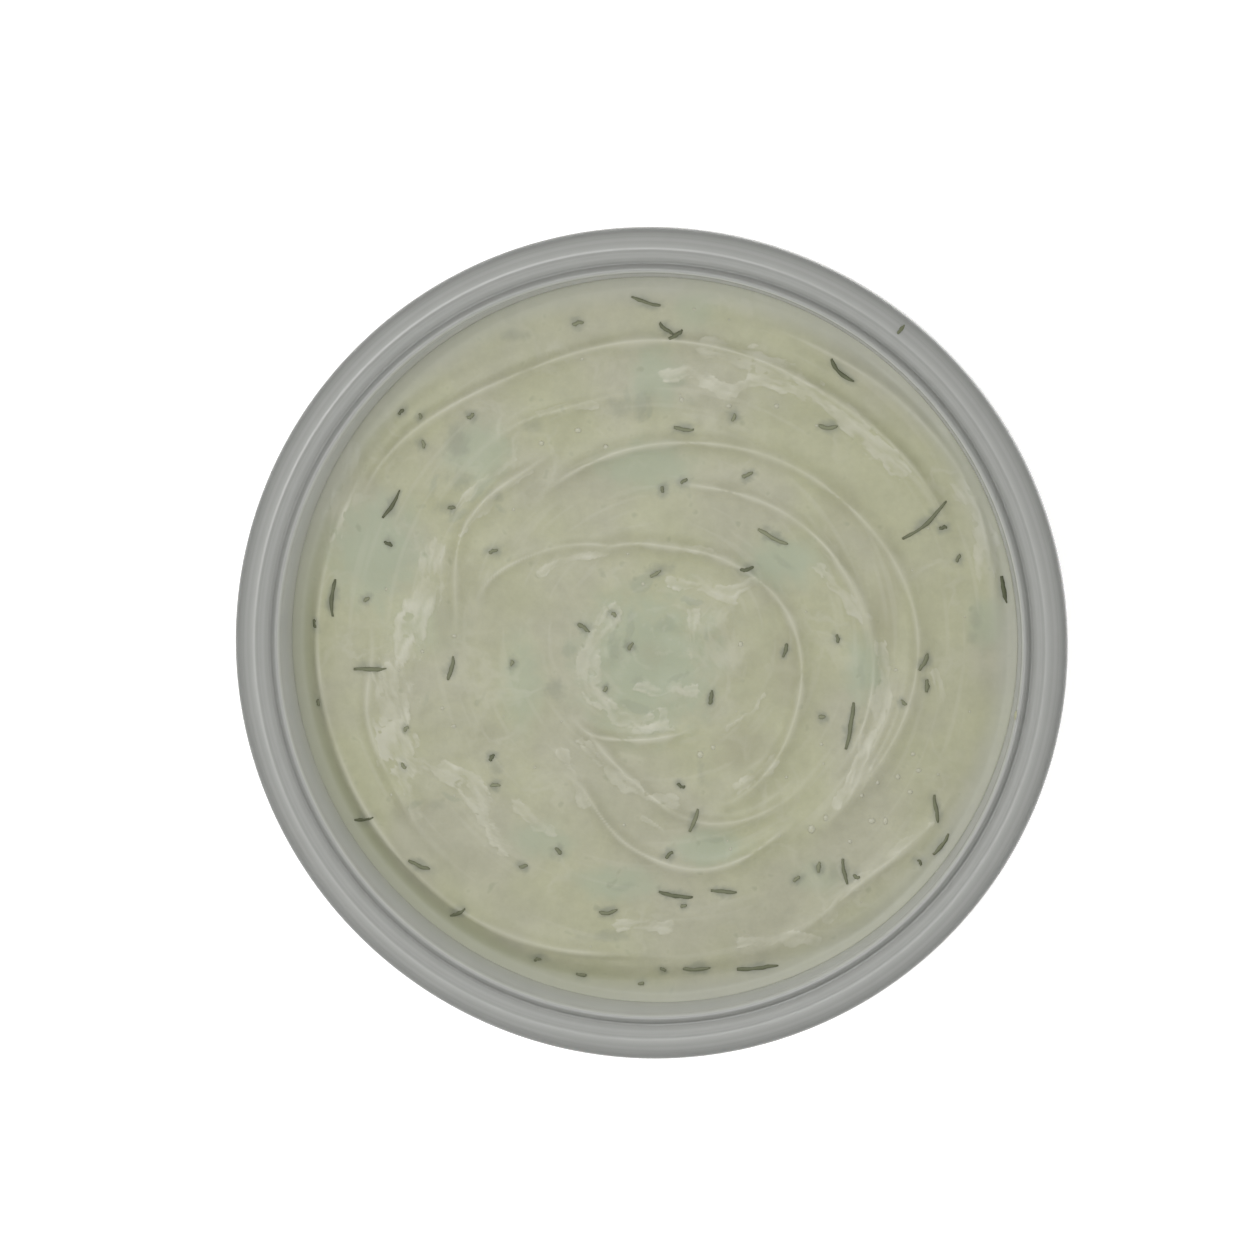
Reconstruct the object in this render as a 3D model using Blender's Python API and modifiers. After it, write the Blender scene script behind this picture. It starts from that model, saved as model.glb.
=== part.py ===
"""Tzatziki dip in its round see-through plastic tub, open at the top.

Two pieces, both standing on z = 0 with the tub's axis on Z, in metres. The tub is one
turned shell with a beaded rim, a skirt and a foot ring. The dip fills it to about
seven millimetres under the rim: its top is a level with the swirl left by filling
raised on it, fold by fold, and with the chopped dill that shows lying half sunk in it.
"""

import math
import random
from collections import namedtuple

import bmesh
import bpy
from mathutils import Vector, noise

MM = 0.001

# The tub
SEGMENTS = 72
TUB_HEIGHT = 35.0 * MM
RIM_RADIUS = 57.5 * MM
WALL = 0.8 * MM
WALL_TAPER = math.radians(5.5)
SKIRT_DEPTH = 4.6 * MM
FOOT_OUTER_RADIUS = 45.4 * MM
FOOT_INNER_RADIUS = 42.6 * MM
FOOT_HEIGHT = 0.7 * MM
FLOOR_CORNER = 3.0 * MM
LID_SEAT_HEIGHT = 31.2 * MM
MAIN_BEAD_RADIUS = 54.6 * MM
INNER_BEAD_RADIUS = 51.75 * MM
GROOVE_RADIUS = 52.7 * MM

# The dip
DIP_LEVEL = 28.0 * MM
DIP_RADIUS = 50.5 * MM
CLEARANCE = 0.3 * MM
TOP_RINGS = 30
SWIRL_RADIUS = 48.3 * MM
GUTTER_DEPTH = 1.3 * MM
# The gutter is deepest at this angle, and almost gone on the other side.
GUTTER_BEARING = 213.0
GUTTER_NARROWING = 2.5
GUTTER_LEAST = 0.08
UNEVENNESS = 0.3 * MM
MENISCUS = 0.35 * MM
# Where the swirl stays further from the wall: middle angle, half width, and how far in mm.
SWIRL_INSETS = ((98.0, 32.0, 5.6), (278.0, 26.0, 2.8))

# Where the swirl's middle lies, a little off the tub's axis. The places of all folds,
# lumps and dill below are in millimetres from it.
SWIRL_MIDDLE_X = 1.3 * MM
SWIRL_MIDDLE_Y = 0.4 * MM

# The folds of the swirl, each an arc about the swirl's middle: its two end angles, the
# radii at even steps between them, the height of its crest, and how wide its inner and
# outer slopes are.
Fold = namedtuple("Fold", "start end radii height inner outer")
FOLDS = (
    Fold(150, 28, (46.0, 41.8, 41.4, 41.0, 42.6), 0.70, 1.6, 1.2),
    Fold(58, 28, (39.6, 40.2, 42.0), 0.45, 2.6, 1.6),
    Fold(123, -38, (26.0, 27.5, 31.2, 35.5, 34.6), 0.75, 1.2, 1.9),
    Fold(-14, -44, (33.2, 33.0, 34.2), 0.45, 2.4, 1.4),
    Fold(78, -32, (21.8, 25.0, 29.0, 30.6), 0.55, 1.4, 1.4),
    Fold(30, -2, (26.2, 27.6, 28.6), 0.45, 2.2, 1.2),
    Fold(166, 116, (26.0, 19.6, 14.6), 0.30, 1.2, 1.4),
    Fold(122, -66, (14.6, 12.9, 14.5, 18.2, 21.3, 24.6), 0.80, 1.3, 1.7),
    Fold(232, 311, (16.7, 20.0, 26.5, 28.3), 0.60, 1.3, 1.5),
    Fold(241, 302, (23.4, 29.2, 32.7, 31.6), 0.65, 1.4, 1.4),
    Fold(228, 284, (16.8, 14.5, 13.3), 0.45, 1.2, 1.2),
    Fold(172, 266, (48.2, 48.2, 47.9, 46.9, 44.3), 0.65, 2.2, 1.0),
    Fold(292, 327, (45.2, 43.7, 45.4), 0.30, 1.6, 1.2),
    Fold(62, 8, (45.8, 46.8, 47.6, 46.4), 0.60, 2.6, 1.6),
    Fold(126, 174, (29.8, 31.4, 28.8), 0.55, 1.4, 1.2),
    Fold(124, 103, (35.8, 34.6, 34.2), 0.40, 1.2, 1.2),
    Fold(183, 220, (40.4, 42.6, 42.8, 43.2), 0.45, 2.4, 1.3),
)
FOLD_END_TAPER = 11.0

# Patches where grated cucumber lies just under the surface: centre, half sizes, lumps.
Patch = namedtuple("Patch", "x y half_x half_y lumps")
PATCHES = (
    Patch(0.6, -2.4, 10.5, 9.5, 26),
    Patch(8.5, 33.5, 13.0, 3.4, 16),
    Patch(-25.5, 16.5, 6.5, 9.0, 14),
    Patch(-30.0, -17.5, 9.0, 9.5, 18),
    Patch(9.0, -23.0, 9.5, 3.0, 9),
    Patch(25.5, -24.0, 5.0, 4.0, 6),
)
LUMP_RADIUS = (1.3, 2.6)
LUMP_HEIGHT = (0.08, 0.20)
PATCH_SEED = 11

# Chopped dill leaves lying half sunk in the top: place, length, turn and bend.
Leaf = namedtuple("Leaf", "x y length turn bend")
LEAVES = (
    Leaf(-2.2, 46.7, 4.2, -17, 0.1),
    Leaf(-37.6, 18.5, 4.6, 57, 0.2),
    Leaf(-45.9, 5.4, 5.2, 86, -0.4),
    Leaf(-40.7, -4.5, 4.6, 2, 0.1),
    Leaf(-29.4, -4.3, 3.4, 78, 0.2),
    Leaf(36.5, 16.6, 8.0, 41, 0.5),
    Leaf(24.8, 37.2, 4.4, -45, 0.5),
    Leaf(47.3, 7.3, 3.8, -79, 0.1),
    Leaf(15.4, 14.3, 4.6, -26, 0.2),
    Leaf(26.2, -11.8, 6.6, 81, 0.2),
    Leaf(38.1, -23.2, 3.9, -83, 0.1),
    Leaf(25.5, -32.1, 3.6, -80, 0.2),
    Leaf(2.0, -35.7, 4.8, -8, 0.3),
    Leaf(8.7, -35.1, 3.6, -3, 0.1),
    Leaf(4.9, -46.1, 3.8, 3, 0.1),
    Leaf(13.4, -45.8, 5.8, 6, 0.2),
    Leaf(-33.9, -31.9, 3.2, -22, 0.1),
    Leaf(4.6, -25.2, 3.4, 69, 0.1),
    Leaf(38.9, -28.2, 3.6, 54, 0.3),
    Leaf(36.4, -2.8, 2.6, 62, 0.1),
    Leaf(36.8, -6.1, 1.8, 88, 0.0),
    Leaf(-28.5, -38.6, 2.6, 30, 0.2),
    Leaf(0.6, 43.0, 2.4, -40, 0.2),
    Leaf(2.0, 42.2, 2.2, 34, 0.2),
    Leaf(11.9, 9.9, 1.9, 12, 0.1),
    Leaf(17.2, -1.4, 2.0, 74, 0.1),
    Leaf(6.9, -8.0, 2.0, 80, 0.1),
    Leaf(-10.8, 1.5, 2.0, -34, 0.1),
    Leaf(3.1, 29.2, 2.8, -6, 0.2),
    Leaf(23.0, 29.6, 2.6, -2, 0.2),
    Leaf(-41.7, -25.6, 3.0, 12, 0.2),
    Leaf(11.9, 22.9, 1.6, 20, 0.0),
    Leaf(-7.4, -38.2, 2.6, 8, 0.2),
)
LEAF_WIDTH = 0.55 * MM
LEAF_THICKNESS = 0.45 * MM
LEAF_SIDES = 6
LEAF_RINGS = 4
LEAF_LIFT = 0.06 * MM

# Short flecks of dill between the longer leaves: place, length and turn.
Fleck = namedtuple("Fleck", "x y length turn")
FLECKS = (
    Fleck(-36.3, 31.4, 1.0, 40),
    Fleck(-33.5, 30.8, 0.8, 110),
    Fleck(-11.6, 43.7, 1.6, 12),
    Fleck(10.0, 30.8, 1.1, 75),
    Fleck(-38.1, 13.0, 1.3, 150),
    Fleck(-41.2, 5.2, 0.9, 35),
    Fleck(-48.5, 1.8, 1.2, 100),
    Fleck(-23.4, 12.1, 1.3, 20),
    Fleck(-20.9, -3.5, 0.9, 85),
    Fleck(-23.7, -16.7, 1.1, 60),
    Fleck(-23.2, -20.6, 1.4, 5),
    Fleck(-14.4, -29.7, 1.2, 130),
    Fleck(-19.3, -31.9, 1.2, 10),
    Fleck(2.7, -20.4, 1.2, 165),
    Fleck(1.1, -30.0, 1.3, 45),
    Fleck(3.1, -37.2, 0.9, 20),
    Fleck(24.4, 0.3, 1.2, 95),
    Fleck(38.9, 15.8, 1.1, 15),
    Fleck(41.0, 11.6, 1.2, 70),
    Fleck(35.9, -30.7, 0.9, 125),
    Fleck(18.8, -33.2, 1.1, 30),
    Fleck(27.1, -32.8, 1.0, 160),
    Fleck(21.9, -31.5, 1.5, 85),
    Fleck(0.2, -46.2, 0.9, 140),
    Fleck(-2.9, -48.3, 0.9, 20),
    Fleck(-11.3, -47.2, 1.5, 172),
    Fleck(-17.4, -45.1, 1.1, 15),
    Fleck(-0.8, 9.1, 1.7, 28),
    Fleck(0.1, 20.8, 0.9, 90),
    Fleck(3.1, 22.0, 1.1, 40),
    Fleck(-35.7, -12.8, 0.9, 55),
    Fleck(-36.1, -18.0, 1.0, 120),
    Fleck(-48.1, -9.3, 1.0, 95),
    Fleck(22.3, -10.6, 0.9, 10),
    Fleck(33.6, -8.4, 1.0, 145),
    Fleck(-4.3, -1.0, 1.2, 60),
    Fleck(-29.2, 18.1, 1.1, 5),
    Fleck(-33.1, 26.9, 1.2, 100),
    Fleck(-26.5, 30.8, 1.1, 30),
    Fleck(-7.8, -7.0, 0.8, 70),
    Fleck(-6.6, 3.4, 0.8, 135),
)
FLECK_WIDTH = 0.5 * MM


def smooth_step(low, high, value):
    """0 below low, 1 above high, with an even rise between them."""
    share = min(1.0, max(0.0, (value - low) / (high - low)))
    return share * share * (3.0 - 2.0 * share)


def between(values, share):
    """The value at share, from 0 to 1, along evenly spaced values, on a smooth curve."""
    place = share * (len(values) - 1)
    i = min(int(place), len(values) - 2)
    before = values[max(i - 1, 0)]
    first = values[i]
    second = values[i + 1]
    after = values[min(i + 2, len(values) - 1)]
    t = place - i
    return first + 0.5 * t * (
        second - before
        + t * (2.0 * before - 5.0 * first + 4.0 * second - after
               + t * (3.0 * (first - second) + after - before))
    )


def angle_along(start, end, degrees):
    """How far an angle lies from start towards end, in degrees, negative before start."""
    way = 1.0 if end > start else -1.0
    turned = (way * (degrees - start) + 180.0) % 360.0 - 180.0
    return turned if turned > -60.0 else turned + 360.0


def fold_height(fold, radius, degrees):
    """Height in millimetres that one fold adds at a point given by radius and angle."""
    sweep = abs(fold.end - fold.start)
    along = angle_along(fold.start, fold.end, degrees)
    if along < -FOLD_END_TAPER or along > sweep + FOLD_END_TAPER:
        return 0.0
    share = min(1.0, max(0.0, along / sweep))
    offset = radius - between(fold.radii, share)
    width = fold.outer if offset > 0.0 else fold.inner
    crest = 1.0 / (1.0 + (offset / width) ** 2)
    ends = (smooth_step(-FOLD_END_TAPER, FOLD_END_TAPER, along)
            * smooth_step(-FOLD_END_TAPER, FOLD_END_TAPER, sweep - along))
    return fold.height * ends * crest * crest


def swirl_edge(degrees):
    """Radius in millimetres where the swirl drops to the gutter along the wall."""
    inset = 0.0
    for middle, half_width, depth in SWIRL_INSETS:
        inset += depth * math.exp(-((degrees - middle) / half_width) ** 2)
    return SWIRL_RADIUS / MM - inset


def gutter_drop(radius, degrees, axis_radius):
    """How far the surface lies below the level near the wall, deepest at the left."""
    edge = swirl_edge(degrees)
    facing = 0.5 + 0.5 * math.cos(math.radians(degrees - GUTTER_BEARING))
    share = GUTTER_LEAST + (1.0 - GUTTER_LEAST) * facing ** GUTTER_NARROWING
    climb = MENISCUS / MM * smooth_step(DIP_RADIUS / MM - 1.4, DIP_RADIUS / MM, axis_radius)
    return GUTTER_DEPTH / MM * share * smooth_step(edge - 0.6, edge + 2.0, radius) - climb


def scatter_lumps():
    """Every lump as x, y, radius and height in millimetres, by a seeded rule."""
    rng = random.Random(PATCH_SEED)
    lumps = []
    for patch in PATCHES:
        for _ in range(patch.lumps):
            turn = rng.uniform(0.0, math.tau)
            reach = math.sqrt(rng.random())
            lumps.append((
                patch.x + patch.half_x * reach * math.cos(turn),
                patch.y + patch.half_y * reach * math.sin(turn),
                rng.uniform(*LUMP_RADIUS),
                rng.uniform(*LUMP_HEIGHT),
            ))
    return lumps


LUMPS = scatter_lumps()


def top_height(x, y):
    """Height of the dip's top over the floor plane at x, y, all in metres."""
    px = (x - SWIRL_MIDDLE_X) / MM
    py = (y - SWIRL_MIDDLE_Y) / MM
    radius = math.hypot(px, py)
    degrees = math.degrees(math.atan2(py, px)) % 360.0
    height = DIP_LEVEL / MM - gutter_drop(radius, degrees, math.hypot(x, y) / MM)
    for fold in FOLDS:
        height += fold_height(fold, radius, degrees)
    for lump_x, lump_y, lump_radius, lump_height in LUMPS:
        away = ((px - lump_x) ** 2 + (py - lump_y) ** 2) / lump_radius ** 2
        if away < 4.0:
            height += lump_height * math.exp(-1.5 * away)
    broad = noise.noise(Vector((px * 0.055, py * 0.055, 3.1)))
    fine = noise.noise(Vector((px * 0.19, py * 0.19, 7.7)))
    calm = 1.0 - 0.6 * smooth_step(swirl_edge(degrees), swirl_edge(degrees) + 3.0, radius)
    height += calm * UNEVENNESS / MM * (broad + 0.45 * fine)
    return height * MM


def inner_radius(z):
    """Radius of the tub's tapered inner wall at height z."""
    return DIP_RADIUS + (z - DIP_LEVEL) * math.tan(WALL_TAPER)


def floor_height():
    """Height of the tub's floor inside."""
    return FOOT_HEIGHT + WALL


def corner_points(inset):
    """The rounded corner between floor and wall, inset from the tub's inner face."""
    centre_z = floor_height() + FLOOR_CORNER
    centre_r = inner_radius(centre_z) - FLOOR_CORNER
    size = FLOOR_CORNER - inset
    angles = [math.radians(a) for a in (-90, -62, -34, -6)]
    return [(centre_r + size * math.cos(a), centre_z + size * math.sin(a)) for a in angles]


def tub_profile():
    """The tub's section from the middle of its floor, over the rim, to under the foot."""
    inside = [(0.0, floor_height())] + corner_points(0.0)
    inside.append((inner_radius(LID_SEAT_HEIGHT), LID_SEAT_HEIGHT))
    inside.append((inner_radius(LID_SEAT_HEIGHT) + 0.3 * MM, LID_SEAT_HEIGHT + 0.4 * MM))
    inside.append((INNER_BEAD_RADIUS - 0.55 * MM, TUB_HEIGHT - 1.5 * MM))
    beads = [
        (INNER_BEAD_RADIUS - 0.35 * MM, TUB_HEIGHT - 0.85 * MM),
        (INNER_BEAD_RADIUS, TUB_HEIGHT - 0.65 * MM),
        (INNER_BEAD_RADIUS + 0.4 * MM, TUB_HEIGHT - 0.9 * MM),
        (GROOVE_RADIUS, TUB_HEIGHT - 1.5 * MM),
        (MAIN_BEAD_RADIUS - 1.0 * MM, TUB_HEIGHT - 0.5 * MM),
        (MAIN_BEAD_RADIUS - 0.4 * MM, TUB_HEIGHT - 0.1 * MM),
        (MAIN_BEAD_RADIUS, TUB_HEIGHT),
        (MAIN_BEAD_RADIUS + 0.5 * MM, TUB_HEIGHT - 0.15 * MM),
    ]
    skirt = [
        (RIM_RADIUS - 0.5 * MM, TUB_HEIGHT - 1.1 * MM),
        (RIM_RADIUS - 0.1 * MM, TUB_HEIGHT - 1.5 * MM),
        (RIM_RADIUS, TUB_HEIGHT - 2.0 * MM),
        (RIM_RADIUS, TUB_HEIGHT - SKIRT_DEPTH),
        (RIM_RADIUS - WALL, TUB_HEIGHT - SKIRT_DEPTH),
        (RIM_RADIUS - WALL, TUB_HEIGHT - 2.2 * MM),
        (MAIN_BEAD_RADIUS + 0.2 * MM, TUB_HEIGHT - 0.9 * MM),
        (MAIN_BEAD_RADIUS - 0.9 * MM, TUB_HEIGHT - 1.3 * MM),
        (GROOVE_RADIUS + 0.1 * MM, TUB_HEIGHT - 2.3 * MM),
    ]
    wall_top = TUB_HEIGHT - 3.6 * MM
    wall_foot = 4.2 * MM
    outside = [
        (inner_radius(wall_top) + 1.35 * WALL, wall_top),
        (inner_radius(wall_foot) + WALL, wall_foot),
        (FOOT_OUTER_RADIUS + 2.9 * MM, 1.9 * MM),
        (FOOT_OUTER_RADIUS + 1.7 * MM, 0.6 * MM),
        (FOOT_OUTER_RADIUS, 0.0),
        (FOOT_INNER_RADIUS, 0.0),
        (FOOT_INNER_RADIUS - 0.7 * MM, FOOT_HEIGHT),
        (0.0, FOOT_HEIGHT),
    ]
    return inside + beads + skirt + outside


def dip_profile():
    """The dip's section: rings of its level top from the axis out, its side, its foot."""
    edge = inner_radius(DIP_LEVEL) - CLEARANCE
    top = [(edge * i / TOP_RINGS, DIP_LEVEL) for i in range(TOP_RINGS + 1)]
    corner = corner_points(CLEARANCE)
    return top + corner[::-1] + [(0.0, floor_height() + CLEARANCE)]


def plastic(name, color, roughness, transmission):
    """A see-through moulded plastic."""
    material = bpy.data.materials.new(name)
    material.use_nodes = True
    shader = material.node_tree.nodes["Principled BSDF"]
    shader.inputs["Base Color"].default_value = color
    shader.inputs["Roughness"].default_value = roughness
    shader.inputs["Metallic"].default_value = 0.0
    shader.inputs["Transmission Weight"].default_value = transmission
    return material


def cream(name, color, roughness):
    """The thick, slightly wet look of strained yoghurt."""
    material = bpy.data.materials.new(name)
    material.use_nodes = True
    shader = material.node_tree.nodes["Principled BSDF"]
    shader.inputs["Base Color"].default_value = color
    shader.inputs["Roughness"].default_value = roughness
    shader.inputs["Metallic"].default_value = 0.0
    return material


def clear_scene():
    """Removes whatever objects the scene holds."""
    for old in list(bpy.data.objects):
        bpy.data.objects.remove(old, do_unlink=True)


def new_collection(name, parent):
    """A collection under parent."""
    collection = bpy.data.collections.new(name)
    parent.children.link(collection)
    return collection


def turned(name, profile, collection):
    """A solid of revolution: the profile is screwed once round Z and made a mesh."""
    mesh = bpy.data.meshes.new(name)
    bm = bmesh.new()
    points = [bm.verts.new((radius, 0.0, z)) for radius, z in profile]
    for first, second in zip(points, points[1:]):
        bm.edges.new((first, second))
    bm.to_mesh(mesh)
    bm.free()
    obj = bpy.data.objects.new(name, mesh)
    collection.objects.link(obj)
    screw = obj.modifiers.new("Turn", "SCREW")
    screw.axis = "Z"
    screw.angle = math.tau
    screw.steps = SEGMENTS
    screw.render_steps = SEGMENTS
    screw.use_merge_vertices = True
    screw.merge_threshold = 0.00005
    return obj


def apply_modifiers(obj):
    """Replaces an object's mesh with the mesh its modifiers give."""
    graph = bpy.context.evaluated_depsgraph_get()
    made = bpy.data.meshes.new_from_object(obj.evaluated_get(graph))
    old = obj.data
    obj.modifiers.clear()
    obj.data = made
    bpy.data.meshes.remove(old)
    made.name = obj.name


def raise_swirl(dip):
    """Moves the vertices of the dip's level top up or down onto the swirl."""
    edge = inner_radius(DIP_LEVEL) - CLEARANCE
    for vertex in dip.data.vertices:
        if abs(vertex.co.z - DIP_LEVEL) > 1e-6:
            continue
        radius = math.hypot(vertex.co.x, vertex.co.y)
        vertex.co.z = top_height(vertex.co.x, vertex.co.y)
        if radius > edge - 0.01 * MM:
            fit = (inner_radius(vertex.co.z) - CLEARANCE) / radius
            vertex.co.x *= fit
            vertex.co.y *= fit


def dill_leaf(name, leaf, width, collection):
    """One leaf: a slim rounded sliver, bent sideways and laid along the surface."""
    mesh = bpy.data.meshes.new(name)
    bm = bmesh.new()
    bmesh.ops.create_uvsphere(bm, u_segments=LEAF_SIDES, v_segments=LEAF_RINGS, radius=0.5)
    middle_x = SWIRL_MIDDLE_X + leaf.x * MM
    middle_y = SWIRL_MIDDLE_Y + leaf.y * MM
    half = 0.5 * leaf.length * MM
    turn = math.radians(leaf.turn)
    for vertex in bm.verts:
        along = vertex.co.z * 2.0
        across = vertex.co.x * width + leaf.bend * MM * (along * along - 0.5)
        up = vertex.co.y * LEAF_THICKNESS
        x = middle_x + along * half * math.cos(turn) - across * math.sin(turn)
        y = middle_y + along * half * math.sin(turn) + across * math.cos(turn)
        vertex.co = (x, y, top_height(x, y) + LEAF_LIFT + up)
    bmesh.ops.recalc_face_normals(bm, faces=bm.faces)
    bm.to_mesh(mesh)
    bm.free()
    obj = bpy.data.objects.new(name, mesh)
    collection.objects.link(obj)
    return obj


def fuse_dill(dip, collection):
    """Joins all the dill to the dip by one union, and removes the loose leaves."""
    for i, leaf in enumerate(LEAVES):
        dill_leaf(f"dill_leaf_{i + 1:02d}", leaf, LEAF_WIDTH, collection)
    for i, fleck in enumerate(FLECKS):
        leaf = Leaf(*fleck, bend=0.0)
        dill_leaf(f"dill_fleck_{i + 1:02d}", leaf, FLECK_WIDTH, collection)
    union = dip.modifiers.new("Dill", "BOOLEAN")
    union.operation = "UNION"
    union.operand_type = "COLLECTION"
    union.collection = collection
    union.solver = "EXACT"
    bpy.context.view_layer.update()
    apply_modifiers(dip)
    for leaf in list(collection.objects):
        bpy.data.objects.remove(leaf, do_unlink=True)
    bpy.data.collections.remove(collection)


def finish_surface(obj, material, sharp_degrees):
    """Gives an object its material and shades it smooth but for its sharp edges."""
    obj.data.materials.clear()
    obj.data.materials.append(material)
    obj.data.shade_smooth()
    obj.data.set_sharp_from_angle(angle=math.radians(sharp_degrees))


def main():
    clear_scene()
    pieces = new_collection("tzatziki_dip", bpy.context.scene.collection)
    dill = new_collection("dill", bpy.context.scene.collection)

    tub = turned("tub", tub_profile(), pieces)
    apply_modifiers(tub)
    finish_surface(tub, plastic("clear_tub_plastic", (0.42, 0.43, 0.40, 1.0), 0.3, 0.6), 40)

    dip = turned("dip", dip_profile(), pieces)
    apply_modifiers(dip)
    raise_swirl(dip)
    fuse_dill(dip, dill)
    finish_surface(dip, cream("tzatziki", (0.41, 0.41, 0.29, 1.0), 0.35), 60)


main()
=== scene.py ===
import math
import random
from collections import namedtuple
from itertools import starmap

import bpy
import numpy as np
from mathutils import Matrix, Vector, noise


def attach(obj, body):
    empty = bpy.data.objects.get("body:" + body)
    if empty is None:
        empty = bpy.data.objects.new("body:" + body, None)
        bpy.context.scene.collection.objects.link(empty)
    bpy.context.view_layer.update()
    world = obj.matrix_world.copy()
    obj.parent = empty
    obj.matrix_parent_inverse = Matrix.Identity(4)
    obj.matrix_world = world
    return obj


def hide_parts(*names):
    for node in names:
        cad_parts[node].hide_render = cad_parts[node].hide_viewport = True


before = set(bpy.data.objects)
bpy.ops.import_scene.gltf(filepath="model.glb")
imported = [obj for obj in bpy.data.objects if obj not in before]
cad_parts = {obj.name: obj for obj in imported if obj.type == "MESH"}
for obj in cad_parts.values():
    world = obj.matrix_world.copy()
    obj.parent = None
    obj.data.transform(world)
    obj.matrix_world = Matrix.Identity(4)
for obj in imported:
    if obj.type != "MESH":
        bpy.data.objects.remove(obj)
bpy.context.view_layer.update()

MM = 0.001

WELD_DISTANCE = 0.0005 * MM

# The tub
TUB_HEIGHT = 35.0 * MM
RIM_RADIUS = 57.5 * MM
WALL = 0.8 * MM
WALL_TAPER = math.radians(5.5)
SKIRT_DEPTH = 4.6 * MM
FOOT_OUTER_RADIUS = 45.4 * MM
FOOT_INNER_RADIUS = 42.6 * MM
FOOT_HEIGHT = 0.7 * MM
FLOOR_CORNER = 3.0 * MM
LID_SEAT_HEIGHT = 31.2 * MM
MAIN_BEAD_RADIUS = 54.6 * MM
INNER_BEAD_RADIUS = 51.75 * MM
GROOVE_RADIUS = 52.7 * MM
TUB_STEPS = 288
CURVE_CUTS = 4
EDGE_ROUNDING = 0.16 * MM
ROUNDED_FROM = math.radians(38.0)
SMOOTH_BELOW = math.radians(50.0)
CORNER_POINTS = 8
CORNER_TURN = 84.0
WALL_CUTS = (24.0 * MM, 27.0 * MM)
# The beads from the inside out, and what lies under the rim: a radius, a step out from it
# and a drop from the rim's top, both in millimetres.
BEADS = (
    (INNER_BEAD_RADIUS, -0.55, 1.5), (INNER_BEAD_RADIUS, -0.35, 0.85),
    (INNER_BEAD_RADIUS, 0.0, 0.65), (INNER_BEAD_RADIUS, 0.4, 0.9),
    (GROOVE_RADIUS, 0.0, 1.5), (MAIN_BEAD_RADIUS, -1.0, 0.5),
    (MAIN_BEAD_RADIUS, -0.4, 0.1), (MAIN_BEAD_RADIUS, 0.0, 0.0),
    (MAIN_BEAD_RADIUS, 0.5, 0.15), (RIM_RADIUS, -0.5, 1.1),
    (RIM_RADIUS, -0.1, 1.5), (RIM_RADIUS, 0.0, 2.0),
)
UNDER_RIM = (
    (RIM_RADIUS, -0.8, 2.2), (MAIN_BEAD_RADIUS, 0.2, 0.9),
    (MAIN_BEAD_RADIUS, -0.9, 1.3), (GROOVE_RADIUS, 0.1, 2.3),
)
# The height to which the dip shows through the wall.
FILLED_TO = 28.2 * MM
FILL_BLUR = 0.6 * MM
# Painted light on the wall, standing in for light that comes through it: this deep from its
# inner face, from one height to another.
LIT_DEPTH = 0.4 * MM
LIT_HEIGHTS = (25.0 * MM, 27.0 * MM)
# Painted highlights in paler rings along the rim's bead crests: radius, half width and
# strength.
BEAD_HIGHLIGHT_RINGS = ((51.62 * MM, 0.26 * MM, 0.5), (53.3 * MM, 0.4 * MM, 0.4),
              (54.7 * MM, 0.3 * MM, 0.3))

# The dip
DIP_LEVEL = 28.0 * MM
DIP_RADIUS = 50.5 * MM
INTO_WALL = 0.15 * MM
DIP_SIDE_CUTS = (22.0 * MM, 16.0 * MM, 10.0 * MM)
DIP_RINGS = 190
DIP_STEPS = 440
SWIRL_RADIUS = 48.3 * MM
GUTTER_DEPTH = 1.3 * MM
# The gutter is deepest at this angle, and almost gone on the other side.
GUTTER_BEARING = 213.0
GUTTER_NARROWING = 2.5
GUTTER_LEAST = 0.08
UNEVENNESS = 0.3 * MM
MENISCUS = 0.35 * MM
# Where the swirl stays further from the wall: middle angle, half width, and how far in mm.
SWIRL_INSETS = ((98.0, 32.0, 5.6), (278.0, 26.0, 2.8))

# Where the swirl's middle lies, a little off the tub's axis. The places of all folds,
# lumps, trails, tints and dill below are in millimetres from it.
SWIRL_MIDDLE_X = 1.3 * MM
SWIRL_MIDDLE_Y = 0.4 * MM
SWIRL_MIDDLE = (SWIRL_MIDDLE_X, SWIRL_MIDDLE_Y, 0.0)

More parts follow.
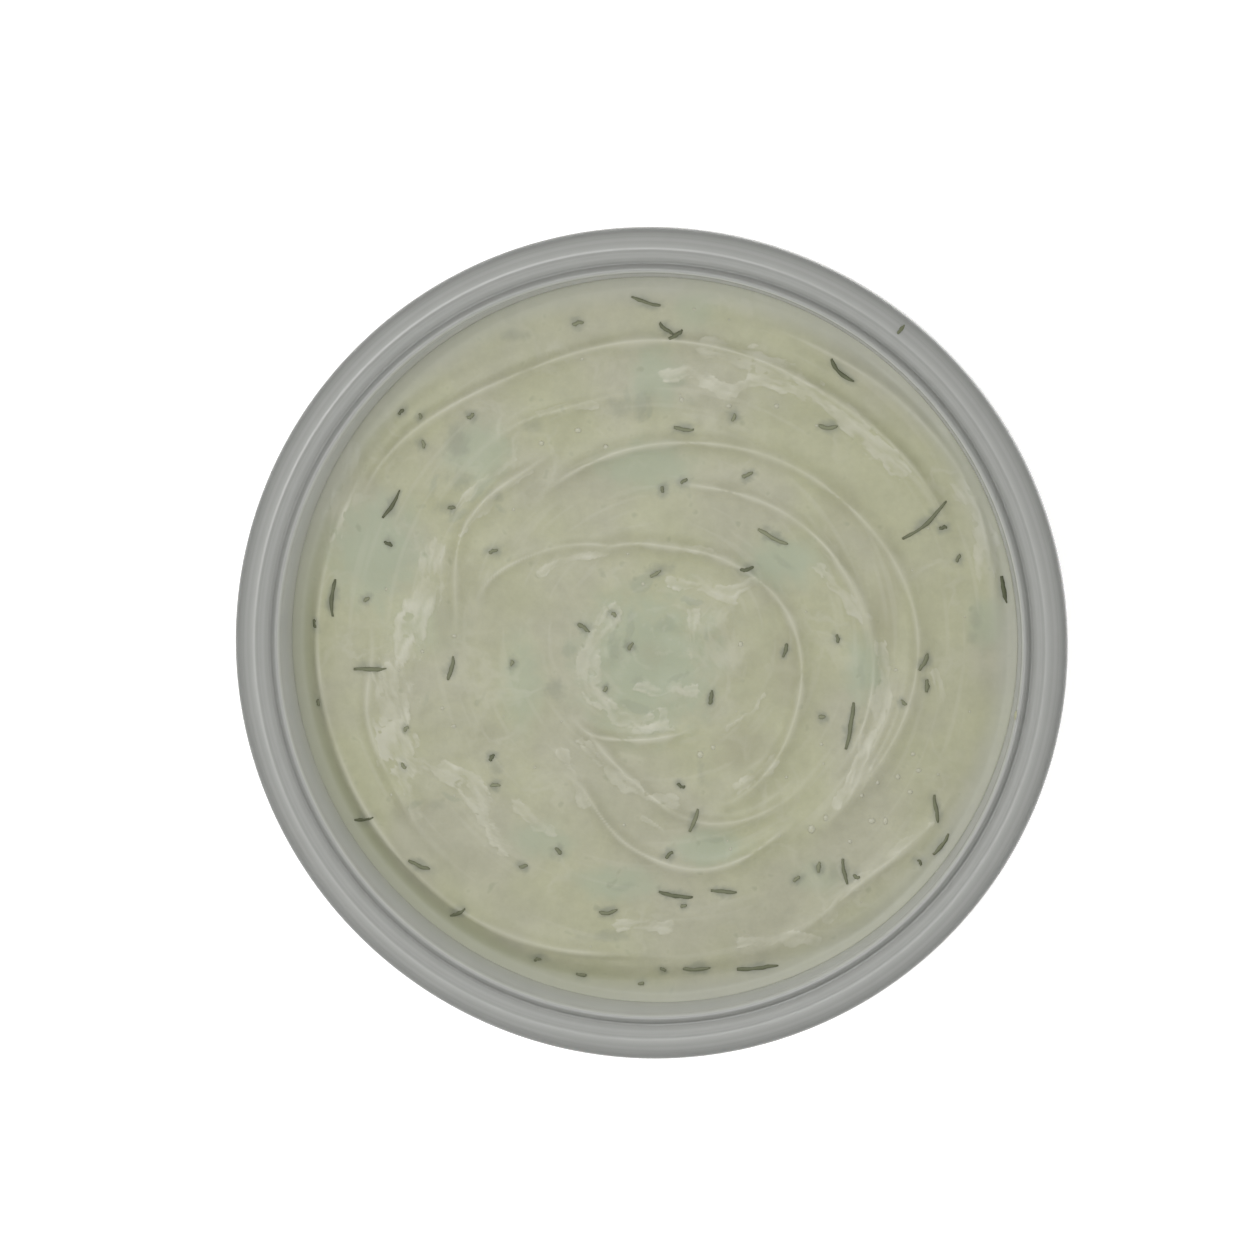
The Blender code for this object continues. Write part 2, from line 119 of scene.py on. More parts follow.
# The folds of the swirl, each an arc about the swirl's middle: its two end angles, the
# radii at even steps between them, the height of its crest, and how wide its inner and
# outer slopes are.
Fold = namedtuple("Fold", "start end radii height inner outer")
FOLDS = tuple(starmap(Fold, (
    (150, 28, (46.0, 41.8, 41.4, 41.0, 42.6), 0.70, 1.6, 1.2),
    (58, 28, (39.6, 40.2, 42.0), 0.45, 2.6, 1.6),
    (123, -38, (26.0, 27.5, 31.2, 35.5, 34.6), 0.75, 1.2, 1.9),
    (-14, -44, (33.2, 33.0, 34.2), 0.45, 2.4, 1.4),
    (78, -32, (21.8, 25.0, 29.0, 30.6), 0.55, 1.4, 1.4),
    (30, -2, (26.2, 27.6, 28.6), 0.45, 2.2, 1.2),
    (166, 116, (26.0, 19.6, 14.6), 0.30, 1.2, 1.4),
    (122, -66, (14.6, 12.9, 14.5, 18.2, 21.3, 24.6), 0.80, 1.3, 1.7),
    (232, 311, (16.7, 20.0, 26.5, 28.3), 0.60, 1.3, 1.5),
    (241, 302, (23.4, 29.2, 32.7, 31.6), 0.65, 1.4, 1.4),
    (228, 284, (16.8, 14.5, 13.3), 0.45, 1.2, 1.2),
    (172, 266, (48.2, 48.2, 47.9, 46.9, 44.3), 0.65, 2.2, 1.0),
    (292, 327, (45.2, 43.7, 45.4), 0.30, 1.6, 1.2),
    (62, 8, (45.8, 46.8, 47.6, 46.4), 0.60, 2.6, 1.6),
    (126, 174, (29.8, 31.4, 28.8), 0.55, 1.4, 1.2),
    (124, 103, (35.8, 34.6, 34.2), 0.40, 1.2, 1.2),
    (183, 220, (40.4, 42.6, 42.8, 43.2), 0.45, 2.4, 1.3),
)))
FOLD_END_TAPER = 11.0
# The thin lip that a fold's crest ends in, in millimetres.
LIP_HEIGHT = 0.10
LIP_WIDTH = 0.42

# Patches where grated cucumber lies just under the surface: centre, half sizes, lumps.
Patch = namedtuple("Patch", "x y half_x half_y lumps")
PATCHES = (
    Patch(0.6, -2.4, 10.5, 9.5, 26),
    Patch(8.5, 33.5, 13.0, 3.4, 16),
    Patch(-25.5, 16.5, 6.5, 9.0, 14),
    Patch(-30.0, -17.5, 9.0, 9.5, 18),
    Patch(9.0, -23.0, 9.5, 3.0, 9),
    Patch(25.5, -24.0, 5.0, 4.0, 6),
)
LUMP_RADIUS = (1.3, 2.6)
LUMP_HEIGHT = (0.08, 0.20)
PATCH_SEED = 11

# Wet trails that the filling left, made paler by painted sheen: points along them, half width
# and strength.
Trail = namedtuple("Trail", "points half_width strength")
TRAILS = tuple(starmap(Trail, (
    (((-38.2, -5.4), (-37.0, -9.5), (-37.4, -13.5), (-36.1, -16.9)), 2.7, 1.0),
    (((-36.1, -16.9), (-32.1, -18.1), (-27.5, -19.4), (-25.5, -22.6), (-23.9, -26.8),
      (-22.2, -29.4)), 1.5, 0.9),
    (((-36.5, -18.6), (-35.3, -21.8), (-34.5, -24.7)), 1.0, 0.8),
    (((-20.1, -23.4), (-17.7, -25.9), (-15.6, -26.8)), 1.0, 0.8),
    (((-31.4, 11.7), (-32.4, 6.1), (-33.8, 3.1), (-35.9, -1.5)), 2.3, 0.8),
    (((-18.5, 23.4), (-22.6, 20.0), (-27.8, 14.6)), 0.55, 0.9),
    (((-20.5, 24.9), (-25.0, 21.6), (-29.3, 17.5)), 0.5, 0.7),
    (((-43.2, 25.7), (-43.5, 21.5), (-45.3, 17.3), (-46.3, 14.5)), 1.6, 0.8),
    (((-10.9, -14.5), (-7.7, -17.7), (-4.6, -20.5), (-1.5, -22.0), (1.3, -22.6)), 1.1, 1.0),
    (((-13.9, -15.8), (-12.4, -18.8), (-10.5, -23.3)), 0.8, 0.8),
    (((-6.8, 3.5), (-9.9, -2.1), (-9.9, -6.6), (-6.8, -10.5), (-3.1, -12.1),
      (0.3, -11.4)), 1.6, 0.8),
    (((4.3, 3.5), (4.5, 0.6), (4.3, -2.1)), 0.95, 1.0),
    (((1.5, 7.8), (5.9, 7.4), (9.6, 6.3), (12.7, 8.1)), 0.95, 0.9),
    (((-3.3, -6.6), (-0.3, -7.1), (1.5, -6.6), (4.6, -7.0)), 1.0, 0.9),
    (((10.9, -20.5), (12.7, -19.3), (15.5, -17.0)), 1.2, 0.9),
    (((9.3, -12.4), (12.4, -10.2), (14.2, -7.7)), 0.4, 0.9),
    (((-2.8, 13.4), (1.5, 12.7), (5.9, 12.4), (8.4, 11.2)), 0.5, 0.8),
    (((-17.0, 9.2), (-13.0, 11.2), (-7.4, 12.3)), 0.55, 0.8),
    (((21.8, 10.3), (24.6, 7.4), (27.9, 3.3)), 0.85, 1.0),
    (((30.3, -0.8), (31.1, -4.5), (30.7, -8.2), (29.6, -11.9), (27.5, -16.7),
      (25.4, -22.2)), 1.3, 0.9),
    (((41.4, 20.9), (43.8, 17.7), (45.5, 14.0), (45.5, 10.3)), 1.7, 0.9),
    (((38.1, -4.0), (38.7, -6.0), (38.9, -8.2)), 0.7, 0.8),
    (((27.5, -33.2), (32.8, -28.7), (37.7, -25.4)), 0.45, 0.7),
    (((6.3, 40.6), (12.4, 39.0), (16.7, 37.0), (21.2, 34.2), (25.5, 31.0), (29.9, 27.0),
      (33.2, 24.0)), 1.7, 1.0),
    (((1.1, 36.3), (3.8, 37.1), (8.1, 34.9), (9.8, 34.0), (12.4, 36.3), (15.1, 35.3),
      (18.6, 34.9)), 1.1, 1.0),
    (((-17.2, 31.4), (-12.8, 32.4), (-8.9, 32.4)), 0.45, 0.8),
    (((-5.9, -40.2), (-2.4, -39.8), (0.3, -40.2)), 1.2, 1.0),
    (((11.2, -42.3), (15.1, -41.9), (19.4, -41.4), (21.6, -42.3)), 0.9, 0.8),
    (((23.3, -38.8), (25.5, -34.9), (27.8, -33.6)), 0.9, 0.8),
    (((-2.8, -25.1), (-0.1, -26.6)), 0.55, 1.0),
)))
# How far a trail rises in millimetres, how strong the painted highlight on the crests is, and
# how pale the streaks are.
TRAIL_RISE = 0.05
FOLD_CREST_HIGHLIGHT = 0.85
STREAK_PALENESS = 0.20

# Where cucumber and dill under the surface tint the dip green: centre and half sizes.
Tint = namedtuple("Tint", "x y half_x half_y strength")
TINTS = tuple(starmap(Tint, (
    (-40.0, 12.0, 6.5, 7.5, 0.9), (-25.5, 25.5, 4.5, 4.5, 0.8), (-2.0, 24.0, 6.5, 3.4, 0.8),
    (-1.0, 36.5, 3.4, 4.6, 0.8), (28.2, -4.0, 2.8, 4.4, 0.9), (-2.0, -3.0, 9.5, 9.5, 0.9),
    (17.0, 11.0, 5.0, 3.4, 0.9), (7.0, -29.0, 4.8, 2.6, 0.9), (-6.0, -34.2, 5.5, 2.4, 0.8),
    (-17.0, -28.2, 4.6, 2.4, 0.7), (-19.5, -6.0, 2.8, 6.5, 0.7), (45.0, 3.0, 2.6, 3.6, 0.7),
    (4.5, 45.6, 3.0, 2.4, 0.6), (-33.0, 2.0, 5.0, 4.0, 0.4), (21.5, -33.0, 3.6, 2.4, 0.5),
)))

# Painted shade, browner than the dip, in hollows beside the folds: centre, half sizes and
# strength.
SHADES = tuple(starmap(Tint, (
    (11.3, -15.3, 4.6, 3.6, 0.9), (17.4, -3.2, 2.0, 6.5, 1.0), (31.1, 4.5, 2.2, 6.5, 0.9),
    (24.7, 18.4, 3.0, 4.6, 0.5), (-30.4, 2.5, 1.5, 3.6, 0.9), (-21.6, 22.9, 2.4, 1.3, 0.6),
    (-1.5, -2.0, 2.0, 2.0, 0.6), (-8.0, -14.6, 3.4, 1.6, 0.5),
)))

# Shreds of grated cucumber that show through: middle, half length, half width and turn.
Shred = namedtuple("Shred", "x y half_length half_width turn strength")
SHREDS = tuple(starmap(Shred, (
    (4.0, 5.4, 1.9, 0.6, -15, 0.9), (0.6, 2.1, 1.9, 1.6, 20, 0.6),
    (-3.6, -9.5, 3.1, 0.85, -12, 0.8), (-1.4, -12.7, 2.9, 0.55, -5, 0.8),
    (-4.4, 1.5, 3.4, 0.8, 80, 0.7), (-2.6, 8.0, 2.7, 1.3, 35, 0.8),
    (-12.8, -1.8, 1.5, 1.1, 60, 0.6), (-7.0, 0.2, 1.6, 0.6, 70, 0.7),
    (2.4, -5.2, 2.2, 0.5, 25, 0.6), (6.3, 0.6, 1.7, 0.45, 95, 0.5),
    (-25.4, 20.4, 3.0, 0.8, 48, 0.7), (-28.2, 17.0, 2.2, 0.7, 20, 0.6),
    (-31.6, 21.4, 1.9, 0.7, 60, 0.5), (-22.4, 17.8, 1.5, 0.6, -30, 0.5),
    (-4.6, 33.6, 2.2, 0.7, -80, 0.6), (-1.8, 31.4, 1.9, 0.6, 75, 0.6),
    (2.2, 35.4, 2.0, 0.6, 10, 0.5), (-34.4, -23.2, 2.0, 0.6, 30, 0.5),
    (-29.6, -22.4, 1.9, 0.6, -20, 0.6), (-32.8, -8.4, 1.8, 0.5, 70, 0.4),
    (7.6, -27.8, 2.6, 0.7, 5, 0.5), (-5.4, -34.6, 2.6, 0.7, 8, 0.5),
    (27.8, -4.6, 0.8, 2.8, 5, 0.5), (16.8, 10.8, 2.4, 0.7, -28, 0.6),
)))

# Dill and cucumber peel wholly sunk, seen blurred through the dip: centre, half sizes.
SUNK = tuple(starmap(Tint, (
    (-20.2, 42.1, 2.2, 0.8, 0.9), (-11.6, 43.8, 1.2, 0.6, 0.6), (-28.3, 26.8, 1.6, 2.4, 0.9),
    (-30.1, 18.1, 1.6, 0.9, 0.8), (-23.0, 19.8, 1.0, 1.0, 0.8), (-27.8, 22.0, 2.0, 1.2, 0.8),
    (-5.9, 32.1, 1.5, 1.3, 0.8), (-2.7, 32.4, 1.0, 2.0, 0.9), (-0.1, 9.8, 1.8, 0.9, 0.8),
    (-23.4, 12.3, 1.1, 1.1, 0.7), (-18.0, 29.6, 1.3, 0.9, 0.7), (-7.6, -41.6, 2.8, 0.8, 0.8),
    (43.4, 3.5, 0.8, 1.8, 0.6), (43.0, 0.7, 0.8, 0.9, 0.6), (-6.4, -1.7, 1.0, 1.6, 0.6),
    (-14.9, -7.1, 1.3, 1.5, 0.9), (-36.0, -12.6, 0.7, 0.7, 0.7),
    (-31.4, -23.4, 0.9, 0.7, 0.6), (-17.0, -45.1, 1.4, 0.6, 0.6),
    (-23.0, -18.2, 0.8, 1.0, 0.8), (23.3, 29.6, 1.8, 0.8, 0.6), (4.0, 33.0, 0.8, 0.8, 0.5),
    (-15.0, -30.0, 0.9, 0.9, 0.6), (24.0, -32.5, 0.8, 1.4, 0.6),
    (38.0, -28.5, 1.6, 0.6, 0.5), (5.5, -18.5, 0.6, 1.4, 0.6), (-3.2, -6.0, 0.8, 1.2, 0.5),
)))

# Small air bubbles and curds that stand up as pale specks: place and radius.
SPECKS = (
    (22.9, -24.6, 0.42), (20.9, -26.2, 0.55), (29.2, -25.0, 0.48), (31.1, -25.0, 0.45),
    (26.2, -27.9, 0.34), (35.7, -17.9, 0.30), (34.9, -15.6, 0.28), (34.5, -20.9, 0.36),
    (32.8, -18.8, 0.30), (2.8, 33.2, 0.32), (9.3, 32.4, 0.36), (15.9, 32.4, 0.30),
    (-16.7, 27.1, 0.42), (-11.6, 28.9, 0.38), (-7.7, 26.6, 0.32), (5.4, -16.0, 0.40),
    (7.2, -15.0, 0.30), (11.0, -0.6, 0.34), (-28.9, 0.2, 0.28),
    (-30.6, -9.9, 0.30), (-29.0, -12.4, 0.26), (22.2, -14.4, 0.24), (-33.4, -2.0, 0.26),
    (27.8, -21.4, 0.28), (30.0, -19.6, 0.26),
)
SPECK_SEED = 3
SPECK_STRETCH = (0.8, 1.3)
SPECK_FLATNESS = 0.3
# How pale the specks are, partly a painted highlight.
SPECK_PALENESS = 0.6
# Smaller specks strewn over the dip: how many, how far out, and their radii.
LOOSE_SPECKS = 34
LOOSE_REACH = 46.0
LOOSE_RADIUS = (0.12, 0.22)
# A smear of dip on the inner bead: its middle and its half sizes.
SMEAR = (49.3, -9.6, 33.9)
SMEAR_HALF_SIZES = (0.35, 0.85, 0.3)

# Chopped dill leaves lying half sunk in the top: place, length, turn and bend.
Leaf = namedtuple("Leaf", "x y length turn bend")
LEAVES = tuple(starmap(Leaf, (
    (-2.2, 46.7, 4.2, -17, 0.1), (-37.6, 18.5, 4.6, 57, 0.2), (-45.9, 5.4, 5.2, 86, -0.4),
    (-40.7, -4.5, 4.6, 2, 0.1), (-29.4, -4.3, 3.4, 78, 0.2), (36.5, 16.6, 8.0, 41, 0.5),
    (24.8, 37.2, 4.4, -45, 0.5), (47.3, 7.3, 3.8, -79, 0.1), (15.4, 14.3, 4.6, -26, 0.2),
    (26.2, -11.8, 6.6, 81, 0.2), (38.1, -23.2, 3.9, -83, 0.1), (25.5, -32.1, 3.6, -80, 0.2),
    (2.0, -35.7, 4.8, -8, 0.3), (8.7, -35.1, 3.6, -3, 0.1), (4.9, -46.1, 3.8, 3, 0.1),
    (13.4, -45.8, 5.8, 6, 0.2), (-33.9, -31.9, 3.2, -22, 0.1), (4.6, -25.2, 3.4, 69, 0.1),
    (38.9, -28.2, 3.6, 54, 0.3), (36.4, -2.8, 2.6, 62, 0.1), (36.8, -6.1, 1.8, 88, 0.0),
    (-28.5, -38.6, 2.6, 30, 0.2), (0.6, 43.0, 2.4, -40, 0.2), (2.0, 42.2, 2.2, 34, 0.2),
    (11.9, 9.9, 1.9, 12, 0.1), (17.2, -1.4, 2.0, 74, 0.1), (6.9, -8.0, 2.0, 80, 0.1),
    (-10.8, 1.5, 2.0, -34, 0.1), (3.1, 29.2, 2.8, -6, 0.2), (23.0, 29.6, 2.6, -2, 0.2),
    (-41.7, -25.6, 3.0, 12, 0.2), (11.9, 22.9, 1.6, 20, 0.0), (-7.4, -38.2, 2.6, 8, 0.2),
)))
# How much a film of dip hides of each leaf above.
LEAF_FILMS = (
    0.48, 0.15, 0.22, 0.45, 0.52, 0.40, 0.12, 0.0, 0.86, 0.45, 0.42,
    0.45, 0.22, 0.44, 0.50, 0.32, 0.52, 0.70, 0.52, 0.56, 0.55, 0.32,
    0.32, 0.32, 0.20, 0.40, 0.42, 0.65, 0.68, 0.74, 0.18, 0.78, 0.58,
)
LEAF_WIDTH = 0.55 * MM
LEAF_THICKNESS = 0.45 * MM
LEAF_LIFT = 0.06 * MM
LEAF_SIDES = 8
# How full the leaf is at even steps from its stalk end to its tip.
LEAF_FULLNESS = (0.58, 0.84, 0.96, 0.88, 1.0, 0.92, 0.90, 0.74, 0.42)

# A thin leaf that dried onto the rim's slope, whose radii and heights are given.
RIM_LEAF = Leaf(33.3, 43.3, 1.5, 52, 0.1)
RIM_LEAF_FILM = 0.25
RIM_SLOPE = ((54.6, 34.92), (55.1, 34.77), (57.0, 33.82), (57.4, 33.42))

# Short flecks of dill between the longer leaves: place, length and turn.
Fleck = namedtuple("Fleck", "x y length turn")
FLECKS = tuple(starmap(Fleck, (
    (-36.3, 31.4, 1.0, 40), (-33.5, 30.8, 0.8, 110), (-11.6, 43.7, 1.6, 12),
    (10.0, 30.8, 1.1, 75), (-38.1, 13.0, 1.3, 150), (-41.2, 5.2, 0.9, 35),
    (-48.5, 1.8, 1.2, 100), (-23.4, 12.1, 1.3, 20), (-20.9, -3.5, 0.9, 85),
    (-23.7, -16.7, 1.1, 60), (-23.2, -20.6, 1.4, 5), (-14.4, -29.7, 1.2, 130),
    (-19.3, -31.9, 1.2, 10), (2.7, -20.4, 1.2, 165), (1.1, -30.0, 1.3, 45),
    (3.1, -37.2, 0.9, 20), (24.4, 0.3, 1.2, 95), (38.9, 15.8, 1.1, 15),
    (41.0, 11.6, 1.2, 70), (35.9, -30.7, 0.9, 125), (18.8, -33.2, 1.1, 30),
    (27.1, -32.8, 1.0, 160), (21.9, -31.5, 1.5, 85), (0.2, -46.2, 0.9, 140),
    (-2.9, -48.3, 0.9, 20), (-11.3, -47.2, 1.5, 172), (-17.4, -45.1, 1.1, 15),
    (-0.8, 9.1, 1.7, 28), (0.1, 20.8, 0.9, 90), (3.1, 22.0, 1.1, 40),
    (-35.7, -12.8, 0.9, 55), (-36.1, -18.0, 1.0, 120), (-48.1, -9.3, 1.0, 95),
    (22.3, -10.6, 0.9, 10), (33.6, -8.4, 1.0, 145), (-4.3, -1.0, 1.2, 60),
    (-29.2, 18.1, 1.1, 5), (-33.1, 26.9, 1.2, 100), (-26.5, 30.8, 1.1, 30),
    (-7.8, -7.0, 0.8, 70), (-6.6, 3.4, 0.8, 135),
)))
FLECK_WIDTH = 0.5 * MM
# Round each leaf and fleck the dip looks darker, where the rest of it is sunk.
DILL_HALOS = tuple(
    Shred(dill.x, dill.y, 0.5 * dill.length + 0.9, 1.25, dill.turn, 1.0)
    for dill in LEAVES + FLECKS
)
# The flecks that lie clear of the dip, by their number in the list above, and their film.
DARK_FLECKS = {0: 0.3, 4: 0.15, 6: 0.1, 9: 0.2, 13: 0.2, 14: 0.4, 17: 0.2, 19: 0.35}
# What a film of dip hides of the other flecks lies between these.
FLECK_FILM = (0.45, 0.95)
FLECK_FILM_SEED = 5

# The view: the photo's frame, its scale at the rim and where the rim's middle lies.
FRAME_PIXELS = 1260
RIM_MIDDLE_PIXEL = (647.7, 646.8)
PIXEL_AT_RIM = 0.13732 * MM
CAMERA_DISTANCE = 0.8
CAMERA_TILT = math.radians(7.5)
CAMERA_BEARING = math.radians(45.0)
SENSOR_WIDTH = 36.0

# Colours, as linear red, green and blue
CREAM = (0.401, 0.403, 0.266, 1.0)
CREAM_BLUSH = (0.395, 0.390, 0.286, 1.0)
CUCUMBER_TINT = (0.355, 0.396, 0.284, 1.0)
# The colour of the painted shade in hollows, browner than the dip.
BROWN_HOLLOW_SHADE = (0.325, 0.315, 0.215, 1.0)
SHRED_GREEN = (0.288, 0.312, 0.228, 1.0)
SUNK_GREEN = (0.235, 0.248, 0.190, 1.0)
DOT_GREEN = (0.220, 0.240, 0.160, 1.0)
# The colour of the pale film, which also serves as painted highlight and sheen.
PALE_FILM_AND_SHEEN = (0.508, 0.503, 0.398, 1.0)
# The colour of the painted shade in the gutter, with an olive tint.
GUTTER_OLIVE_SHADE = (0.320, 0.338, 0.160, 1.0)
# The colour of the painted light on the dip next to the wall.
LIGHT_NEAR_WALL = (0.470, 0.480, 0.420, 1.0)
DILL_DARK = (0.110, 0.121, 0.070, 1.0)
DILL_FILMED = (0.265, 0.275, 0.180, 1.0)
PLASTIC = (0.408, 0.414, 0.396, 1.0)
MOULD_RINGS = (0.300, 0.306, 0.290, 1.0)
FILLED_WALL = (0.470, 0.470, 0.360, 1.0)
# The colour of the painted light on the inner wall.
LIT_WALL = (0.700, 0.710, 0.675, 1.0)
# The colour of the painted shade on the rim's outer lip.
SHADED_LIP = (0.190, 0.194, 0.184, 1.0)
# The colour of the painted highlights on the rim's bead crests.
BEAD_HIGHLIGHT = (0.640, 0.650, 0.620, 1.0)
FLOOR_WHITE = (0.90, 0.90, 0.90, 1.0)
FLOOR_WHITEST = (0.92, 0.92, 0.92, 1.0)

# The studio
FLOOR_SIZE = 6.0
FLOOR_GLOW = 0.50
SKY_STRENGTH = 0.74
KEY_PLACE = (-0.24, 0.15, 1.01)
KEY_SIZE = 0.45
KEY_POWER = 2.95


def smooth_step(low, high, value):
    """0 below low, 1 above high, with an even rise between them."""
    share = np.clip((value - low) / (high - low), 0.0, 1.0)
    return share * share * (3.0 - 2.0 * share)


def between(values, share):
    """The values at share, from 0 to 1, along evenly spaced values, on a smooth curve."""
    listed = np.array(values)
    place = share * (len(listed) - 1)
    i = np.minimum(place.astype(int), len(listed) - 2)
    before = listed[np.maximum(i - 1, 0)]
    first = listed[i]
    second = listed[i + 1]
    after = listed[np.minimum(i + 2, len(listed) - 1)]
    t = place - i
    return first + 0.5 * t * (
        second - before
        + t * (2.0 * before - 5.0 * first + 4.0 * second - after
               + t * (3.0 * (first - second) + after - before))
    )


def angle_along(start, end, degrees):
    """How far each angle lies from start towards end, in degrees, negative before it."""
    way = 1.0 if end > start else -1.0
    turned = (way * (degrees - start) + 180.0) % 360.0 - 180.0
    return np.where(turned > -60.0, turned, turned + 360.0)


def polar(x, y):
    """Radius in millimetres and angle in degrees, from 0 to 360, of points in millimetres."""
    return np.hypot(x, y), np.degrees(np.arctan2(y, x)) % 360.0


def from_axis(x, y):
    """Distance from the tub's axis of points measured from the swirl's middle."""
    return np.hypot(x + SWIRL_MIDDLE_X / MM, y + SWIRL_MIDDLE_Y / MM)


def fold_shape(fold, radius, degrees):
    """A fold's height in millimetres, and from 0 to 1 how near its crest each point is."""
    sweep = abs(fold.end - fold.start)
    along = angle_along(fold.start, fold.end, degrees)
    offset = radius - between(fold.radii, np.clip(along / sweep, 0.0, 1.0))
    width = np.where(offset > 0.0, fold.outer, fold.inner)
    slope = 1.0 / (1.0 + (offset / width) ** 2)
    ends = (smooth_step(-FOLD_END_TAPER, FOLD_END_TAPER, along)
            * smooth_step(-FOLD_END_TAPER, FOLD_END_TAPER, sweep - along))
    lip = LIP_WIDTH * (1.0 + 0.55 * np.sin(along * 0.16 + fold.start)
                       + 0.35 * np.sin(along * 0.43 + fold.end))
    return fold.height * ends * slope * slope, ends * np.exp(-(offset / lip) ** 2)


def swirl_edge(degrees):
    """Radius in millimetres where the swirl drops to the gutter along the wall."""
    inset = np.zeros_like(degrees)
    for middle, half_width, depth in SWIRL_INSETS:
        inset += depth * np.exp(-((degrees - middle) / half_width) ** 2)
    return SWIRL_RADIUS / MM - inset


def gutter_drop(radius, degrees, axis_radius):
    """How far the surface lies below the level near the wall, deepest at the left."""
    edge = swirl_edge(degrees)
    facing = 0.5 + 0.5 * np.cos(np.radians(degrees - GUTTER_BEARING))
    share = GUTTER_LEAST + (1.0 - GUTTER_LEAST) * facing ** GUTTER_NARROWING
    climb = MENISCUS / MM * smooth_step(DIP_RADIUS / MM - 1.4, DIP_RADIUS / MM, axis_radius)
    return GUTTER_DEPTH / MM * share * smooth_step(edge - 0.6, edge + 2.0, radius) - climb


def scatter_lumps():
    """Every lump as x, y, radius and height in millimetres, by a seeded rule."""
    rng = random.Random(PATCH_SEED)
    lumps = []
    for patch in PATCHES:
        for _ in range(patch.lumps):
            turn = rng.uniform(0.0, math.tau)
            reach = math.sqrt(rng.random())
            lumps.append((
                patch.x + patch.half_x * reach * math.cos(turn),
                patch.y + patch.half_y * reach * math.sin(turn),
                rng.uniform(*LUMP_RADIUS),
                rng.uniform(*LUMP_HEIGHT),
            ))
    return lumps


LUMPS = scatter_lumps()


def noise_at(x, y, z):
    """Smooth noise from about -1 to 1 at points given by their coordinates."""
    places = zip(x.tolist(), y.tolist(), z.tolist())
    return np.array([noise.noise(Vector(place)) for place in places])


def uneven(x, y, scale, level):
    """Smooth noise from about -1 to 1 over a level surface."""
    return noise_at(x * scale, y * scale, np.full_like(x, level))


def away_from_line(x, y, points):
    """How far each point lies from a line through some points, to which side, and along it."""
    nearest = np.full_like(x, 1e3)
    side = np.zeros_like(x)
    along = np.zeros_like(x)
    passed = 0.0
    for (ax, ay), (bx, by) in zip(points, points[1:]):
        run_x = bx - ax
        run_y = by - ay
        run = math.hypot(run_x, run_y)
        share = ((x - ax) * run_x + (y - ay) * run_y) / run ** 2
        share = np.clip(share, 0.0, 1.0)
        gap = np.hypot(x - ax - share * run_x, y - ay - share * run_y)
        closer = gap < nearest
        across = ((x - ax) * run_y - (y - ay) * run_x) / run
        side = np.where(closer, across, side)
        along = np.where(closer, passed + share * run, along)
        nearest = np.minimum(nearest, gap)
        passed += run
    return nearest, side, along


def pushed_about(x, y):
    """Points pushed about by noise, so that what is laid along them gets ragged edges."""
    push_x = 0.50 * uneven(x, y, 0.60, 4.4) + 0.22 * uneven(x, y, 1.7, 9.1)
    push_y = 0.50 * uneven(x, y, 0.60, 14.4) + 0.22 * uneven(x, y, 1.7, 19.1)
    return x + push_x, y + push_y


def trail_nearness(x, y):
    """How far inside a wet trail each point lies, up to 1, and that trail's strength."""
    pushed_x, pushed_y = pushed_about(x, y)
    ragged = 0.40 * uneven(x, y, 0.42, 1.9) + 0.30 * uneven(x, y, 0.16, 12.4)
    islands = smooth_step(0.22, 0.50, uneven(x, y, 0.75, 6.6) + 0.4 * uneven(x, y, 1.9, 3.3))
    inside = np.full_like(x, -1.0)
    strength = np.zeros_like(x)
    for trail in TRAILS:
        away, side, along = away_from_line(pushed_x, pushed_y, trail.points)
        here = 1.0 - away / (trail.half_width * (1.0 + ragged))
        near = here > -0.6
        streaks = np.zeros_like(x)
        streaks[near] = uneven(0.32 * along[near], 1.9 * side[near], 1.0, 5.5)
        here -= 0.6 * min(trail.half_width, 1.5) * islands
        here += 0.55 * streaks
        better = here > inside
        strength = np.where(better, trail.strength * (0.74 + 1.1 * streaks), strength)
        inside = np.maximum(inside, here)
    return inside, np.clip(strength, 0.0, 1.0)


def streak_shown(radius, degrees):
    """From 0 to 1, the faint streaks that run along the swirl."""
    angle = np.radians(degrees)
    shown = noise_at(radius * 1.25, 2.2 * np.cos(angle), 2.2 * np.sin(angle))
    return smooth_step(0.22, 0.48, shown)


def blots(x, y, places, ragged):
    """From 0 to 1, how strongly soft-edged oval places show at each point."""
    shown = np.zeros_like(x)
    for place in places:
        away = np.hypot((x - place.x) / place.half_x, (y - place.y) / place.half_y)
        here = place.strength * (1.0 - smooth_step(0.35, 1.45, away + 0.35 * ragged))
        shown = np.maximum(shown, here)
    return shown


def shred_nearness(x, y, shreds):
    """How far inside one of the turned ovals each point lies, up to its strength."""
    pushed_x, pushed_y = pushed_about(x, y)
    inside = np.full_like(x, -1.0)
    for shred in shreds:
        turn = math.radians(shred.turn)
        along = (pushed_x - shred.x) * math.cos(turn) + (pushed_y - shred.y) * math.sin(turn)
        across = (pushed_y - shred.y) * math.cos(turn) - (pushed_x - shred.x) * math.sin(turn)
        away = np.hypot(along / shred.half_length, across / shred.half_width)
        inside = np.maximum(inside, shred.strength * (1.0 - away))
    return inside


def crest_nearness(radius, degrees):
    """From 0 to 1, how near each point is to the crest of a fold."""
    near = np.zeros_like(radius)
    for fold in FOLDS:
        near = np.maximum(near, fold_shape(fold, radius, degrees)[1])
    return near


